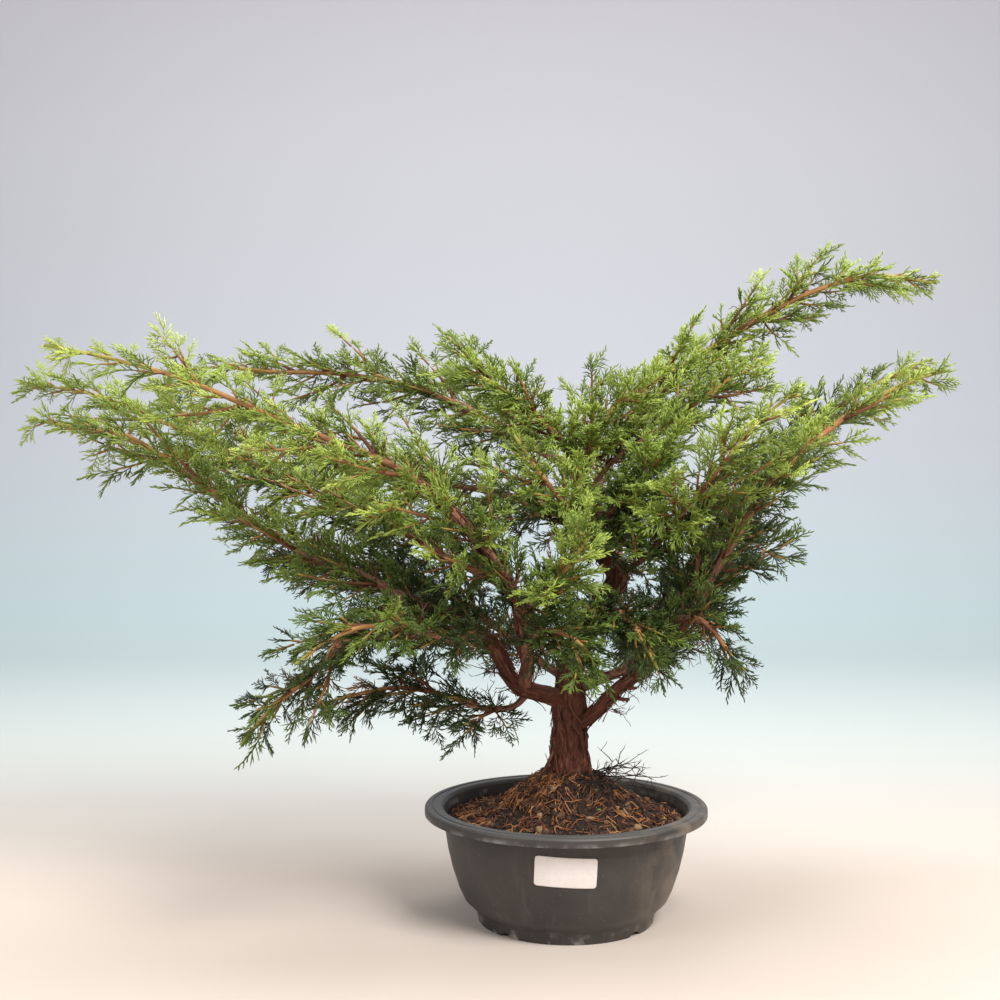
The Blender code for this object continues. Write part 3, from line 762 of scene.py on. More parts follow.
# %% Routes of the trunk and the limbs
TRUNK = [
    (3, 0, 108, 22.0), (3, 0, 130, 16.8), (3, 0, 152, 14.0), (3, 0, 178, 14.0), (3, 1, 199, 11.0),
    (5, 5, 217, 10.0), (23, 14, 253, 9.0), (40, 16, 279, 8.6), (44, 15, 293, 8.2), (33, 10, 310, 7.2),
    (25, 4, 335, 6.6), (15, 0, 368, 6.0), (6, 6, 384, 4.8),
]
LIMBS = {
    "left_main": [
        (2, 0, 186, 8.0), (-35, -20, 199, 7.0), (-48, -25, 211, 6.2), (-62, -30, 236, 5.6), (-92, -40, 259, 4.6),
        (-132, -50, 278, 3.6), (-171, -50, 298, 3.2), (-229, -50, 322, 3.0), (-298, -52, 370, 2.4),
        (-354, -52, 408, 2.0), (-400, -48, 417, 1.6), (-440, -45, 424, 1.2),
    ],
    "front_left": [
        (-37, -20, 200, 6.0), (-34, -45, 227, 5.2), (-40, -60, 266, 4.7), (-46, -72, 287, 4.3), (-67, -90, 320, 3.9),
        (-108, -112, 366, 3.3), (-150, -118, 392, 2.8), (-209, -114, 415, 2.4), (-298, -104, 452, 1.9),
        (-360, -96, 470, 1.5), (-414, -88, 481, 1.1),
    ],
    "middle_left": [
        (-46, -70, 285, 3.3), (-68, -52, 296, 3.0), (-106, -36, 314, 2.9), (-150, -20, 337, 2.6), (-226, -2, 369, 2.3),
        (-287, 6, 397, 2.0), (-349, 12, 425, 1.5), (-402, 12, 446, 1.2), (-464, 8, 456, 1.1),
    ],
    "low_left": [
        (-132, -50, 278, 3.6), (-152, -65, 268, 3.2), (-181, -85, 246, 2.8), (-204, -96, 222, 2.2),
        (-235, -100, 196, 1.6), (-259, -104, 168, 1.2),
    ],
    "low_inner": [
        (-78, -36, 249, 2.9), (-94, -66, 246, 2.5), (-124, -104, 258, 2.2), (-160, -132, 264, 1.7),
        (-190, -146, 252, 1.2), (-210, -152, 238, 1.1),
    ],
    "bottom_left": [
        (-33, -18, 196, 2.9), (-46, -22, 184, 2.5), (-74, -34, 186, 2.4), (-105, -28, 196, 2.0), (-145, -20, 200, 1.7),
        (-190, -14, 190, 1.2), (-214, -12, 182, 1.1),
    ],
    "top_left": [
        (6, 6, 382, 4.1), (-17, 28, 396, 3.8), (-42, 50, 411, 3.4), (-83, 74, 435, 3.1), (-134, 90, 456, 2.7),
        (-199, 98, 468, 2.2), (-250, 100, 470, 1.8), (-312, 96, 474, 1.3), (-352, 88, 470, 1.1),
    ],
    "back_left": [
        (27, 6, 322, 4.2), (12, 44, 336, 3.9), (-22, 86, 350, 3.6), (-72, 124, 362, 3.1), (-132, 150, 370, 2.5),
        (-204, 162, 384, 1.9), (-270, 156, 400, 1.4), (-306, 148, 410, 1.1),
    ],
    "low_back_left": [
        (4, 2, 203, 4.0), (-20, 30, 214, 3.7), (-52, 62, 236, 3.2), (-98, 84, 266, 2.7), (-154, 96, 288, 2.1),
        (-216, 92, 300, 1.4), (-262, 84, 300, 1.1),
    ],
    "upper_right": [
        (13, 0, 371, 4.8), (22, 12, 396, 4.4), (56, 28, 421, 4.0), (101, 42, 467, 3.4), (148, 46, 500, 2.8),
        (210, 38, 534, 2.2), (264, 30, 549, 1.6), (318, 22, 542, 1.2),
    ],
    "middle_right": [
        (17, 0, 360, 2.6), (38, -16, 389, 2.4), (64, -28, 408, 2.0), (98, -42, 432, 1.6), (130, -52, 456, 1.2),
        (160, -58, 470, 1.1),
    ],
    "thin_right": [
        (44, 15, 291, 3.2), (64, -22, 309, 2.9), (84, -60, 339, 2.4), (104, -92, 369, 2.0), (126, -114, 400, 1.6),
        (150, -126, 428, 1.2), (174, -128, 446, 1.1),
    ],
    "right_low": [
        (4, 0, 163, 6.3), (20, -10, 174, 5.6), (44, -20, 201, 5.2), (69, -30, 222, 4.8), (90, -40, 255, 4.5),
        (107, -45, 276, 4.2), (132, -55, 322, 3.6), (159, -62, 368, 3.2), (195, -60, 403, 2.6), (230, -56, 430, 2.2),
        (276, -48, 454, 1.6), (312, -40, 464, 1.2),
    ],
    "right_back": [
        (4, 2, 196, 5.1), (25, 20, 200, 4.6), (59, 45, 211, 4.2), (94, 75, 250, 3.7), (126, 92, 294, 3.2),
        (164, 102, 348, 2.7), (210, 104, 402, 2.2), (258, 96, 442, 1.8), (304, 82, 470, 1.3), (330, 74, 480, 1.1),
    ],
    "right_hanging": [
        (90, -40, 255, 3.2), (98, -60, 262, 2.8), (108, -78, 260, 2.4), (120, -94, 246, 1.8), (130, -106, 228, 1.2),
    ],
    "back": [
        (41, 16, 283, 3.8), (48, 52, 298, 3.5), (52, 94, 320, 3.0), (46, 136, 346, 2.4), (34, 164, 372, 1.6),
        (20, 174, 398, 1.1),
    ],
    "low_back_right": [
        (94, 75, 250, 2.9), (116, 108, 262, 2.6), (142, 140, 282, 2.1), (176, 160, 308, 1.4), (204, 168, 328, 1.1),
    ],
    "front": [
        (-40, -60, 264, 2.7), (-30, -92, 276, 2.4), (-16, -126, 296, 1.9), (0, -150, 318, 1.4), (10, -160, 336, 1.1),
    ],
    "centre": [
        (33, 10, 311, 3.2), (20, -24, 328, 2.9), (0, -54, 350, 2.4), (-24, -76, 380, 1.9), (-46, -86, 412, 1.2),
    ],
    "right_inner": [
        (24, 3, 338, 2.9), (44, -24, 352, 2.6), (62, -50, 372, 1.9), (72, -70, 402, 1.1),
    ],
    "top": [
        (8, 4, 380, 3.6), (-4, -24, 404, 3.2), (-28, -44, 428, 2.6), (-58, -56, 450, 2.0), (-90, -58, 466, 1.2),
    ],
    "right_front": [
        (20, 12, 250, 4.4), (27, -20, 262, 3.8), (37, -54, 268, 3.2), (49, -84, 260, 2.6), (60, -106, 242, 1.8),
        (66, -114, 228, 1.2),
    ],
    "middle_front": [
        (-36, -50, 236, 3.4), (-29, -74, 250, 3.0), (-13, -102, 257, 2.4), (5, -122, 250, 1.8), (18, -134, 234, 1.2),
    ],
    "crown": [
        (10, 3, 374, 4.4), (18, -12, 398, 3.8), (30, -20, 420, 3.0), (42, -24, 440, 2.2), (52, -26, 456, 1.2),
    ],
}


# %% A smooth line through a route
def smooth_route(points, spacing):
    """Evenly spread (x, y, z, radius) rows of a Catmull-Rom curve through the points, in metres."""
    given = np.array(points, float) * MM
    padded = np.vstack([given[0], given, given[-1]])
    t = np.linspace(0, 1, 16, endpoint=False)[:, None]
    fine = []
    for before, start, end, after in zip(padded, padded[1:], padded[2:], padded[3:]):
        fine.append(0.5 * (2 * start + (end - before) * t + (2 * before - 5 * start + 4 * end - after) * t ** 2
                           + (3 * start - before - 3 * end + after) * t ** 3))
    fine = np.vstack([*fine, given[-1:]])
    steps = np.linalg.norm(np.diff(fine[:, :3], axis=0), axis=1)
    reached = np.concatenate([[0.0], np.cumsum(steps)])
    count = max(3, int(round(reached[-1] / (spacing * MM))))
    wanted = np.linspace(0, reached[-1], count + 1)
    return np.stack([np.interp(wanted, reached, fine[:, column]) for column in range(4)], axis=1), reached[-1]


total = sum(smooth_route(route, 10)[1] for route in LIMBS.values())
print("limbs:", len(LIMBS), "with", round(total, 1), "m of wood")

# %% [markdown]
# ## Bark
#
# Old juniper bark is red-brown and peels in long stringy flakes. Towards the tips the wood turns greyish pink, then
# orange, and the youngest stems are yellow-green. The mesh carries the age of the wood as an attribute, which the
# finish reads, and the flakes are pressed into the mesh itself with stretched noise.


# %% Bark finish
def bark_surface():
    surface, tree, shader = new_material("flaky bark", 0.8)
    age = put(tree, "ShaderNodeAttribute", attribute_name="age")
    along = put(tree, "ShaderNodeAttribute", attribute_name="grain")
    fibres = use_group(tree, PATCHES, along.outputs["Vector"], Scale=1.0, Detail=7.0, Low=0.36, High=0.62)
    old = blend_colours(tree, fibres.outputs["Mask"], (0.024, 0.0075, 0.0042), (0.165, 0.046, 0.023))
    flakes = {"Scale": 0.45, "Detail": 5.0, "Low": 0.54, "High": 0.66}
    old = tinted(tree, old, PATCHES, along.outputs["Vector"], (0.27, 0.105, 0.062), **flakes)
    middle = blend_colours(tree, fibres.outputs["Mask"], (0.105, 0.034, 0.019), (0.47, 0.235, 0.150))
    young = ramp(tree, age.outputs["Fac"], [
        (0.0, (0.22, 0.085, 0.042)), (0.70, (0.34, 0.125, 0.045)), (0.86, (0.42, 0.235, 0.075)),
        (1.0, (0.28, 0.32, 0.06)),
    ])
    colour = blend_colours(tree, band(tree, age.outputs["Fac"], 0.14, 0.46), old, middle)
    colour = blend_colours(tree, band(tree, age.outputs["Fac"], 0.50, 0.80), colour, young)
    paint(tree, shader, colour)
    bump(tree, shader, fibres.outputs["Height"], 0.55, 0.0012)
    return surface


# %% Wood from points and faces
def wood_object(name, points, faces, ages, grain):
    mesh = bpy.data.meshes.new(name)
    mesh.from_pydata([tuple(point) for point in points], [], faces)
    mesh.attributes.new("age", "FLOAT", "POINT").data.foreach_set("value", ages)
    mesh.attributes.new("grain", "FLOAT_VECTOR", "POINT").data.foreach_set("vector", np.array(grain).ravel())
    mesh.shade_smooth()
    return place_on_axis(name, mesh)


def tube_faces(first, rings, sides):
    """The four-sided faces between rings of points, of which the first point has the number first."""
    faces = []
    for index in range(rings - 1):
        for side in range(sides):
            a = first + index * sides + side
            b = first + index * sides + (side + 1) % sides
            faces.append((a, b, b + sides, a + sides))
    return faces


# %% A stem with stringy relief
def wood_mesh(name, route, spacing, sides, age_from, age_to, relief, collar):
    """A tube of wood with stringy relief. grain holds a vector that runs slowly along the wood and fast around it."""
    rows, length = smooth_route(route, spacing)
    line, radii = rows[:, :3], rows[:, 3].copy()
    rings = len(line)
    t = np.linspace(0, 1, rings)
    radii *= 1.0 + collar * np.exp(-t * length / (7 * MM))
    along = unit(np.gradient(line, axis=0))
    across = np.zeros_like(along)
    across[0] = unit(np.cross(along[0], np.array([0.3, 0.9, 0.2])))
    for index in range(1, rings):
        carried = across[index - 1] - along[index] * np.dot(across[index - 1], along[index])
        across[index] = unit(carried)
    other = np.cross(along, across)
    points, ages, grain = [], [], []
    for index in range(rings):
        for side in range(sides):
            angle = 2 * math.pi * side / sides
            out = across[index] * math.cos(angle) + other[index] * math.sin(angle)
            around = Vector((math.cos(angle) * 2.4, math.sin(angle) * 2.4, t[index] * length / MM * 0.055))
            lift = noise.fractal(around, 0.8, 2.1, 4) * relief
            groove = noise.noise(Vector((math.cos(angle) * 6, math.sin(angle) * 6, t[index] * length / MM * 0.03)))
            radius = radii[index] * (1.0 + lift + 0.5 * relief * groove)
            points.append(line[index] + out * radius)
            ages.append(age_from + (age_to - age_from) * t[index])
            grain.append((around.x * radii[index] / MM * 0.5, around.y * radii[index] / MM * 0.5, around.z * 2.2))
    faces = tube_faces(0, rings, sides)
    faces.append(tuple(range(sides))[::-1])
    faces.append(tuple((rings - 1) * sides + side for side in range(sides)))
    return wood_object(name, points, faces, ages, grain)


# %% [markdown]
# ### Peeling strips
#
# Old bark comes away in strips as long as a finger joint. A bump map can't leave the surface, so each strip is a thin
# ribbon of its own that follows the wood and lifts off at one end, more for some than for others.


# %% Loose strips of bark
def peeling_strips(name, route, stretch, count, seed, age):
    """Thin strips that lie along the wood within a stretch of its route and lift off it at one end."""
    chance = np.random.default_rng(seed)
    rows, length = smooth_route(route, 2.0)
    line, radii = rows[:, :3], rows[:, 3]
    along = unit(np.gradient(line, axis=0))
    points, faces, ages, grain = [], [], [], []
    for _ in range(count):
        middle = chance.uniform(*stretch)
        half = chance.uniform(5, 17) * MM / length
        angle = chance.uniform(0, 2 * math.pi)
        twist = chance.normal(0, 0.25)
        width = chance.uniform(0.9, 3.4) * MM
        peel = chance.uniform(0.3, 2.2) * MM if chance.random() < 0.7 else chance.uniform(2.2, 5.5) * MM
        end = chance.choice([-1, 1])
        first = len(points)
        for ring in range(7):
            t = ring / 6
            share = float(np.clip(middle + (2 * t - 1) * half, 0.0, 1.0))
            index = min(int(share * (len(line) - 1)), len(line) - 1)
            side = unit(np.cross(along[index], np.array([0.3, 0.9, 0.2])))
            turn = angle + twist * (2 * t - 1)
            out = side * math.cos(turn) + np.cross(along[index], side) * math.sin(turn)
            tangent = np.cross(along[index], out)
            towards_end = t if end > 0 else 1 - t
            lift = 0.2 * MM + peel * towards_end ** 3
            taper = math.sin(math.pi * (0.12 + 0.76 * t)) ** 0.6
            place, _ = point_on(line, share)
            centre = place + out * (radii[index] * 1.02 + lift)
            for across, thick in ((-1, 0), (1, 0), (1, 1), (-1, 1)):
                points.append(centre + tangent * across * width * taper / 2 + out * thick * 0.5 * MM)
                ages.append(age)
                grain.append((width / MM * across, middle * 40 + angle, t * 0.8))
        faces += tube_faces(first, 7, 4)
        faces.append((first + 3, first + 2, first + 1, first))
        faces.append(tuple(first + 24 + side for side in range(4)))
    return wood_object(name, points, faces, ages, grain)


# %% [markdown]
# ### Trunk, limbs, stubs and roots
#
# The trunk gets the deepest relief and the oldest bark. Thick limbs that leave low down start with old bark as well,
# and thinner ones start pinker. Two broken stubs, a root that arches off the trunk and two that dive into the soil are
# made by the same function, from short routes.


# %% Make the trunk and the limbs
BARK = bark_surface()
trunk_piece = wood_mesh("trunk_wood", TRUNK, 1.2, 96, 0.0, 0.30, 0.24, 0.0)
finish_piece(trunk_piece, BARK, "bark", "trunk")
for limb, route in LIMBS.items():
    start_age = 0.05 if route[0][3] > 6.1 else 0.26
    piece = wood_mesh(limb + "_wood", route, 3.0, 14, start_age, 1.0, 0.13, 0.35)
    finish_piece(piece, BARK, "bark", limb + "_limb")
# the route, the stretch of it that peels, the number of strips and their age
strips = {
    "trunk": (TRUNK, (0.06, 0.95), 230, 0.0),
    "left_main": (LIMBS["left_main"], (0.04, 0.34), 90, 0.08),
    "front_left": (LIMBS["front_left"], (0.04, 0.40), 90, 0.10),
    "right_low": (LIMBS["right_low"], (0.03, 0.45), 100, 0.08),
    "right_back": (LIMBS["right_back"], (0.03, 0.40), 70, 0.12),
}
for seed, (stem, (route, stretch, count, age)) in enumerate(strips.items()):
    finish_piece(peeling_strips(stem + "_bark_strips", route, stretch, count, 60 + seed, age), BARK, "bark")
print("wood:", 1 + len(LIMBS), "stems and", len(strips), "sets of strips")

# %% Make the stubs and the roots
extras = {
    "low_stub": [(36, -16, 194, 2.0), (44, -22, 191, 1.7), (52, -25, 191, 1.3)],
    "high_stub": [(42, -19, 202, 2.0), (50, -24, 200, 1.6), (58, -27, 201, 1.2)],
    "curved_root": [
        (8, -8, 208, 1.0), (3, -12.5, 200, 1.0), (2, -15.5, 188, 1.0), (6, -16, 178, 0.9), (13, -13, 169, 0.8),
    ],
    "side_root": [(14, -4, 152, 1.4), (19, -8, 140, 1.3), (20, -12, 130, 1.3), (24, -18, 120, 1.1)],
    "left_root": [(-9, -6, 148, 1.6), (-14, -9, 137, 1.5), (-19, -12, 128, 1.4), (-27, -16, 117, 1.2)],
}
for name, route in extras.items():
    finish_piece(wood_mesh(name, route, 1.5, 10, 0.12, 0.20, 0.16, 0.2), BARK, "bark")
print("stubs and roots:", len(extras))

# %% [markdown]
# ## Foliage
#
# A limb carries twigs all the way round, closer together towards its tip, and each twig carries sprays left and right
# and one at its end. Twigs lean forwards along the limb and turn up to the light, while the lowest ones hang. Tones
# go from deep green inside and below to bright yellow-green at the top and the tips, partly the leaves' own tone and
# partly painted shade and painted light.


# %% Foliage finish
def chart_place(tree):
    """The tone and the age that a cord wrote on the colour chart."""
    place = components(tree, put(tree, "ShaderNodeUVMap", uv_map="OFBake").outputs["UV"])
    return place["X"], place["Y"]


def foliage_surface():
    surface, tree, shader = new_material("scale leaves", 0.40)
    tone, age = chart_place(tree)
    leaf = ramp(tree, tone, [
        (0.0, (0.009, 0.020, 0.003)), (0.30, (0.053, 0.095, 0.009)), (0.60, (0.190, 0.265, 0.024)),
        (0.86, (0.41, 0.49, 0.056)),
    ])
    fresh = ramp(tree, tone, [
        (0.0, (0.028, 0.052, 0.009)), (0.30, (0.160, 0.238, 0.034)), (0.60, (0.44, 0.56, 0.110)),
        (0.86, (0.76, 0.84, 0.27)),
    ])
    living = blend_colours(tree, band(tree, age, 0.62, 1.0), leaf, fresh)
    stem = ramp(tree, age, [
        (0.0, (0.085, 0.030, 0.016)), (0.14, (0.20, 0.075, 0.030)), (0.30, (0.34, 0.20, 0.050)),
        (0.44, (0.24, 0.27, 0.040)),
    ])
    colour = blend_colours(tree, band(tree, age, 0.36, 0.52), stem, living)
    dead = ramp(tree, age, [(0.0, (0.07, 0.030, 0.016)), (0.5, (0.26, 0.105, 0.034)), (1.0, (0.42, 0.19, 0.060))])
    colour = blend_colours(tree, band(tree, tone, 0.89, 0.91), colour, dead)
    paint(tree, shader, colour)
    shader.inputs["Specular IOR Level"].default_value = 0.38
    return surface


# %% Tone of a spray, with painted shade and light
DEAD_TONE = 0.94
BRIGHTEST = 0.78
DEEPEST_SHADE = 150
CROWN_SLOPE = 1.1
UP = np.array([0.0, 0.0, 1.0])
WOOD_LINE = np.concatenate([smooth_route(route, 12.0)[0][:, :3] for route in LIMBS.values()])


def depth_below_crown(place):
    """How far a place lies under the crown's upper side, in millimetres."""
    away = np.hypot(WOOD_LINE[:, 0] - place[0], WOOD_LINE[:, 1] - place[1])
    return max(0.0, float(np.max(WOOD_LINE[:, 2] - CROWN_SLOPE * away)) - place[2]) / MM


def tone_with_painted_light(place, chance):
    """Partly the leaves' own tone, partly painted shade and light: deep under other limbs and near the trunk, bright
    at the top and the tips.
    """
    depth = min(depth_below_crown(place) / DEEPEST_SHADE, 1.0)
    outside = math.hypot(place[0] / MM + 30, place[1] / MM) / 380
    front = -place[1] / MM / 180
    # painted shade grows with the depth under the crown; painted light grows towards the outside and the front, where
    # the lamps fall
    return 0.36 - 0.40 * depth + 0.18 * outside + 0.05 * front + chance.normal(0, 0.10)


def green(tone):
    return float(np.clip(tone, 0.02, BRIGHTEST))


print("crown's wood line:", len(WOOD_LINE), "points")


# %% Growing one twig
BARE_SHARE = 0.06
DEATH_RATE = 0.010


def grow_twig(growth, chance, start, heading, pull, length, radius, shift, inner=0.0):
    """A twig that bends towards pull and carries sprays left and right, and one at its end."""
    count = 6
    line = curved_line(start, heading, length, pull, 0.9, count)
    headings = unit(np.gradient(line, axis=0))
    tone = tone_with_painted_light(line[-1], chance) + shift
    is_dead = chance.random() < DEATH_RATE * inner
    stem_tone = DEAD_TONE if is_dead else green(tone)
    growth.add(*cord(line, np.linspace(radius, 0.75 * MM, count), np.linspace(0.05, 0.40, count), stem_tone, 4))
    level = unit(UP + chance.normal(0, 0.4, 3))
    reached = BARE_SHARE * length + chance.uniform(1, 5) * MM
    turn = chance.choice([0.0, math.pi])
    while reached < length * 0.93:
        t = reached / length
        place, here = point_on(line, t)
        forward = headings[here]
        turn += math.pi + chance.normal(0, 0.55)
        across = unit(np.cross(level, forward))
        other = np.cross(forward, across)
        out = across * math.cos(turn) + other * math.sin(turn)
        spread = math.radians(chance.uniform(30, 52))
        way = unit(forward * math.cos(spread) + out * math.sin(spread) + UP * 0.10)
        size = "middle" if t < 0.6 else "short"
        if chance.random() < 0.25:
            size = "fine" if t < 0.6 else "middle"
        scale = chance.uniform(0.75, 1.08) * min(1.0, 0.62 + length / (90 * MM))
        pattern = PATTERNS[size][chance.integers(PATTERN_COUNT)]
        own = stem_tone if is_dead else green(tone + 0.10 * (t - 0.5) + chance.normal(0, 0.045))
        normal = np.cross(way, np.cross(level, way)) + chance.normal(0, 0.35, 3)
        set_spray(growth, pattern, place, way, normal, scale, own)
        reached += chance.uniform(4.4, 7.2) * MM
    size = "long" if length > 50 * MM else "middle" if length > 20 * MM else "short"
    pattern = PATTERNS[size][chance.integers(PATTERN_COUNT)]
    own = stem_tone if is_dead else green(tone + 0.07)
    set_spray(growth, pattern, line[-1] - headings[-1] * 3 * MM, headings[-1], level, chance.uniform(0.8, 1.0), own)


# %% How each limb carries its twigs
# where the foliage starts along the limb, the longest twig in mm, the gap between twigs in mm, lift of the twigs,
# tone, and the length of the side branches in mm
HABIT = {
    "left_main": (0.16, 46, 10, 0.15, -0.01, 80),
    "front_left": (0.14, 42, 11, -0.14, 0.03, 66),
    "middle_left": (0.12, 46, 10, 0.20, 0.02, 80),
    "low_left": (0.08, 38, 10, -0.06, 0.00, 56),
    "low_inner": (0.12, 32, 10, -0.20, -0.02, 38),
    "bottom_left": (0.14, 40, 10, -0.70, -0.06, 42),
    "top_left": (0.10, 36, 10, 0.05, 0.02, 54),
    "back_left": (0.14, 40, 12, 0.20, -0.02, 64),
    "low_back_left": (0.16, 46, 9, 0.00, -0.08, 75),
    "upper_right": (0.12, 38, 10, 0.18, 0.02, 58),
    "middle_right": (0.16, 42, 10, 0.45, 0.02, 60),
    "thin_right": (0.16, 42, 9, 0.25, 0.03, 60),
    "right_low": (0.20, 42, 11, 0.12, 0.00, 66),
    "right_back": (0.14, 48, 11, 0.20, -0.02, 75),
    "right_hanging": (0.30, 32, 12, -0.20, -0.04, 0),
    "back": (0.16, 40, 10, 0.30, -0.03, 54),
    "low_back_right": (0.16, 36, 10, 0.05, -0.06, 50),
    "front": (0.20, 34, 7, 0.50, -0.01, 40),
    "centre": (0.10, 40, 8, 0.22, 0.03, 56),
    "right_inner": (0.12, 42, 7, 0.40, 0.02, 60),
    "top": (0.10, 42, 7, 0.30, 0.04, 60),
    "right_front": (0.14, 38, 7, -0.25, 0.00, 52),
    "middle_front": (0.12, 38, 7, -0.10, -0.01, 50),
    "crown": (0.12, 40, 8, 0.35, 0.04, 58),
}


# %% Bare twigs
BROWN_TONE = 0.2


def grow_bare_twig(growth, chance, start, heading, length, radius, forks):
    """A leafless twig that wanders and forks, ages in the brown part of the chart."""
    line = [np.array(start)]
    way = unit(heading)
    for _ in range(4):
        way = unit(way + chance.normal(0, 0.22, 3))
        line.append(line[-1] + way * length / 4)
    growth.add(*cord(line, np.linspace(radius, 0.25 * MM, 5), np.linspace(0.0, 0.10, 5), BROWN_TONE))
    for _ in range(forks):
        place, _ = point_on(line, chance.uniform(0.25, 0.9))
        grow_bare_twig(growth, chance, place, way + chance.normal(0, 0.7, 3), length * chance.uniform(0.35, 0.6),
                       radius * 0.7, forks - 2)


# %% Side branches and twigs along a stem
def sideways(forward, turn):
    """A direction square to the stem, at an angle round it that is 0 to the side and a quarter turn above."""
    side = unit(np.cross(forward, UP))
    return side * math.cos(turn) + np.cross(side, forward) * math.sin(turn)


def leaning(forward, turn, degrees):
    """A direction that leaves the stem at an angle to it, on the side that turn says."""
    spread = math.radians(degrees)
    return unit(forward * math.cos(spread) + sideways(forward, turn) * math.sin(spread))


LEAF_TURN = 2.4  # each twig sits this much further round the stem than the one before, as leaves do


def grow_branch(growth, chance, start, heading, pull, length, radius, lift, gap, longest, shift):
    """A side branch with twigs all along it and one at its end."""
    line = curved_line(start, heading, length, pull, 0.9, 9)
    headings = unit(np.gradient(line, axis=0))
    growth.add(*cord(line, np.linspace(radius, 0.9 * MM, 9), np.linspace(0.02, 0.26, 9), green(shift + 0.3), 6))
    turn = chance.uniform(0, 2 * math.pi)
    reached = 0.16 * length
    while reached < length * 0.96:
        t = reached / length
        place, here = point_on(line, t)
        turn += LEAF_TURN + chance.normal(0, 0.3)
        way = leaning(headings[here], turn, chance.uniform(36, 58))
        twig_length = longest * MM * (0.85 - 0.45 * t) * chance.uniform(0.7, 1.1)
        twig_length *= 1 - 0.30 * max(0.0, math.sin(turn))
        hang = lift * (0.6 if math.sin(turn) > -0.2 else 0.2)
        grow_twig(growth, chance, place, way, headings[here] * 0.6 + UP * hang, twig_length, 1.0 * MM, shift)
        reached += gap * MM * chance.uniform(0.9, 1.4)
    grow_twig(growth, chance, line[-1], headings[-1], headings[-1] + UP * 0.1, 18 * MM, 0.9 * MM, shift + 0.04)


# %% One limb and its habit
DYING = {"bottom_left": 16.0, "low_inner": 3.0, "left_main": 1.0}


class Limb:
    """A limb's line and directions, its habit, and how far along it the foliage starts."""

    def __init__(self, name):
        rows, self.length = smooth_route(LIMBS[name], 2.0)
        self.name, self.line, self.along = name, rows[:, :3], unit(np.gradient(rows[:, :3], axis=0))
        self.first, self.longest, self.gap, self.lift, self.shift, self.branch = HABIT[name]

    def at(self, share):
        place, here = point_on(self.line, share)
        return place, self.along[here]

    def leafy_share(self, reached):
        return (reached / self.length - self.first) / (1 - self.first)


# %% Twigs, then side branches
def grow_twigs(growth, chance, limb):
    turn = chance.uniform(0, 2 * math.pi)
    reached = limb.first * limb.length
    while reached < limb.length - 10 * MM:
        share = limb.leafy_share(reached)
        place, forward = limb.at(reached / limb.length)
        turn += LEAF_TURN + chance.normal(0, 0.3)
        way = leaning(forward, turn, chance.uniform(38, 58) - 14 * share)
        swell = np.interp(share, (0, 0.3, 0.6, 0.85, 1), (0.80, 1.0, 0.82, 0.50, 0.30))
        hang = limb.lift * (1.0 if math.sin(turn) > -0.3 else 0.3) - 0.25 * max(0.0, share - 0.7)
        pull = forward * 0.7 + UP * (hang + chance.normal(0, 0.12))
        twig_length = limb.longest * MM * swell * chance.uniform(0.7, 1.15) * (1 - 0.38 * max(0.0, math.sin(turn)))
        dying = (1 - share) * DYING.get(limb.name, 0.0)
        radius = (1.35 - 0.5 * share) * MM
        grow_twig(growth, chance, place, way, pull, twig_length, radius, limb.shift, dying)
        reached += limb.gap * MM * chance.uniform(0.75, 1.25) * (0.68 + 0.40 * share)


def grow_branches(growth, chance, limb):
    reached = (limb.first + 0.03) * limb.length
    turn = chance.choice([0.0, math.pi])
    while reached < limb.length * 0.80:
        share = limb.leafy_share(reached)
        place, forward = limb.at(reached / limb.length)
        turn += math.pi + chance.normal(0, 0.6)
        way = leaning(forward, turn, chance.uniform(42, 60) - 10 * share)
        pull = forward * 0.8 + UP * (0.6 * limb.lift + chance.normal(0, 0.12))
        length = limb.branch * MM * (1.0 - 0.45 * share) * chance.uniform(0.75, 1.15)
        grow_branch(growth, chance, place, way, pull, length, 1.9 * MM, limb.lift, limb.gap * 1.1, limb.longest,
                    limb.shift)
        reached += chance.uniform(34, 52) * (0.62 + 0.55 * share) * MM


# %% All the foliage of a limb
def grow_foliage(name, seed):
    """Twigs, side branches, the limb's own tip, and bare twigs on its shaded inner half, in that order."""
    chance = np.random.default_rng(seed)
    growth, limb = Growth(), Limb(name)
    grow_twigs(growth, chance, limb)
    if limb.branch:
        grow_branches(growth, chance, limb)
    tip, end = limb.line[-1], limb.along[-1]
    grow_twig(growth, chance, tip - end * 22 * MM, end, end, 12 * MM, 1.2 * MM, limb.shift + 0.06)
    for _ in range(int(0.10 * limb.length / MM)):
        place, forward = limb.at(chance.uniform(0.06, 0.62))
        way = forward * chance.uniform(0.2, 1.2) + sideways(forward, chance.uniform(0, 2 * math.pi))
        grow_bare_twig(growth, chance, place, way, chance.uniform(14, 34) * MM, 0.6 * MM, 3)
    return growth


# %% Grow the foliage of every limb
LEAF = foliage_surface()
faces_grown = {}
for seed, limb in enumerate(LIMBS):
    foliage = grow_foliage(limb, 100 + seed).to_object(limb + "_sprays")
    finish_piece(foliage, LEAF, "foliage", limb + "_foliage")
    faces_grown[limb] = len(foliage.data.polygons)
print("foliage:", sum(faces_grown.values()), "triangles, most on one limb", max(faces_grown.values()))

# %% [markdown]
# ## Soil
#
# The mound is dark, crumbly and uneven, darker where it is damp. It is turned as rings that follow the mound's slope
# and then roughened with several sizes of noise.


# %% Height of the soil
SOIL_EDGE, SOIL_PEAK = 86.5, 131.0
SOIL_REACH = WALL_OUTSIDE[1][0] - WALL_THICK - 0.4
STEM_X = 3


def from_stem(x, y):
    return math.hypot(x - STEM_X, y)


def mound(x, y):
    """Height of the smooth mound, which peaks at the trunk."""
    reach = min(1.0, from_stem(x, y) / 101.0)
    return SOIL_EDGE + (SOIL_PEAK - SOIL_EDGE) * (0.5 + 0.5 * math.cos(math.pi * reach)) ** 1.25


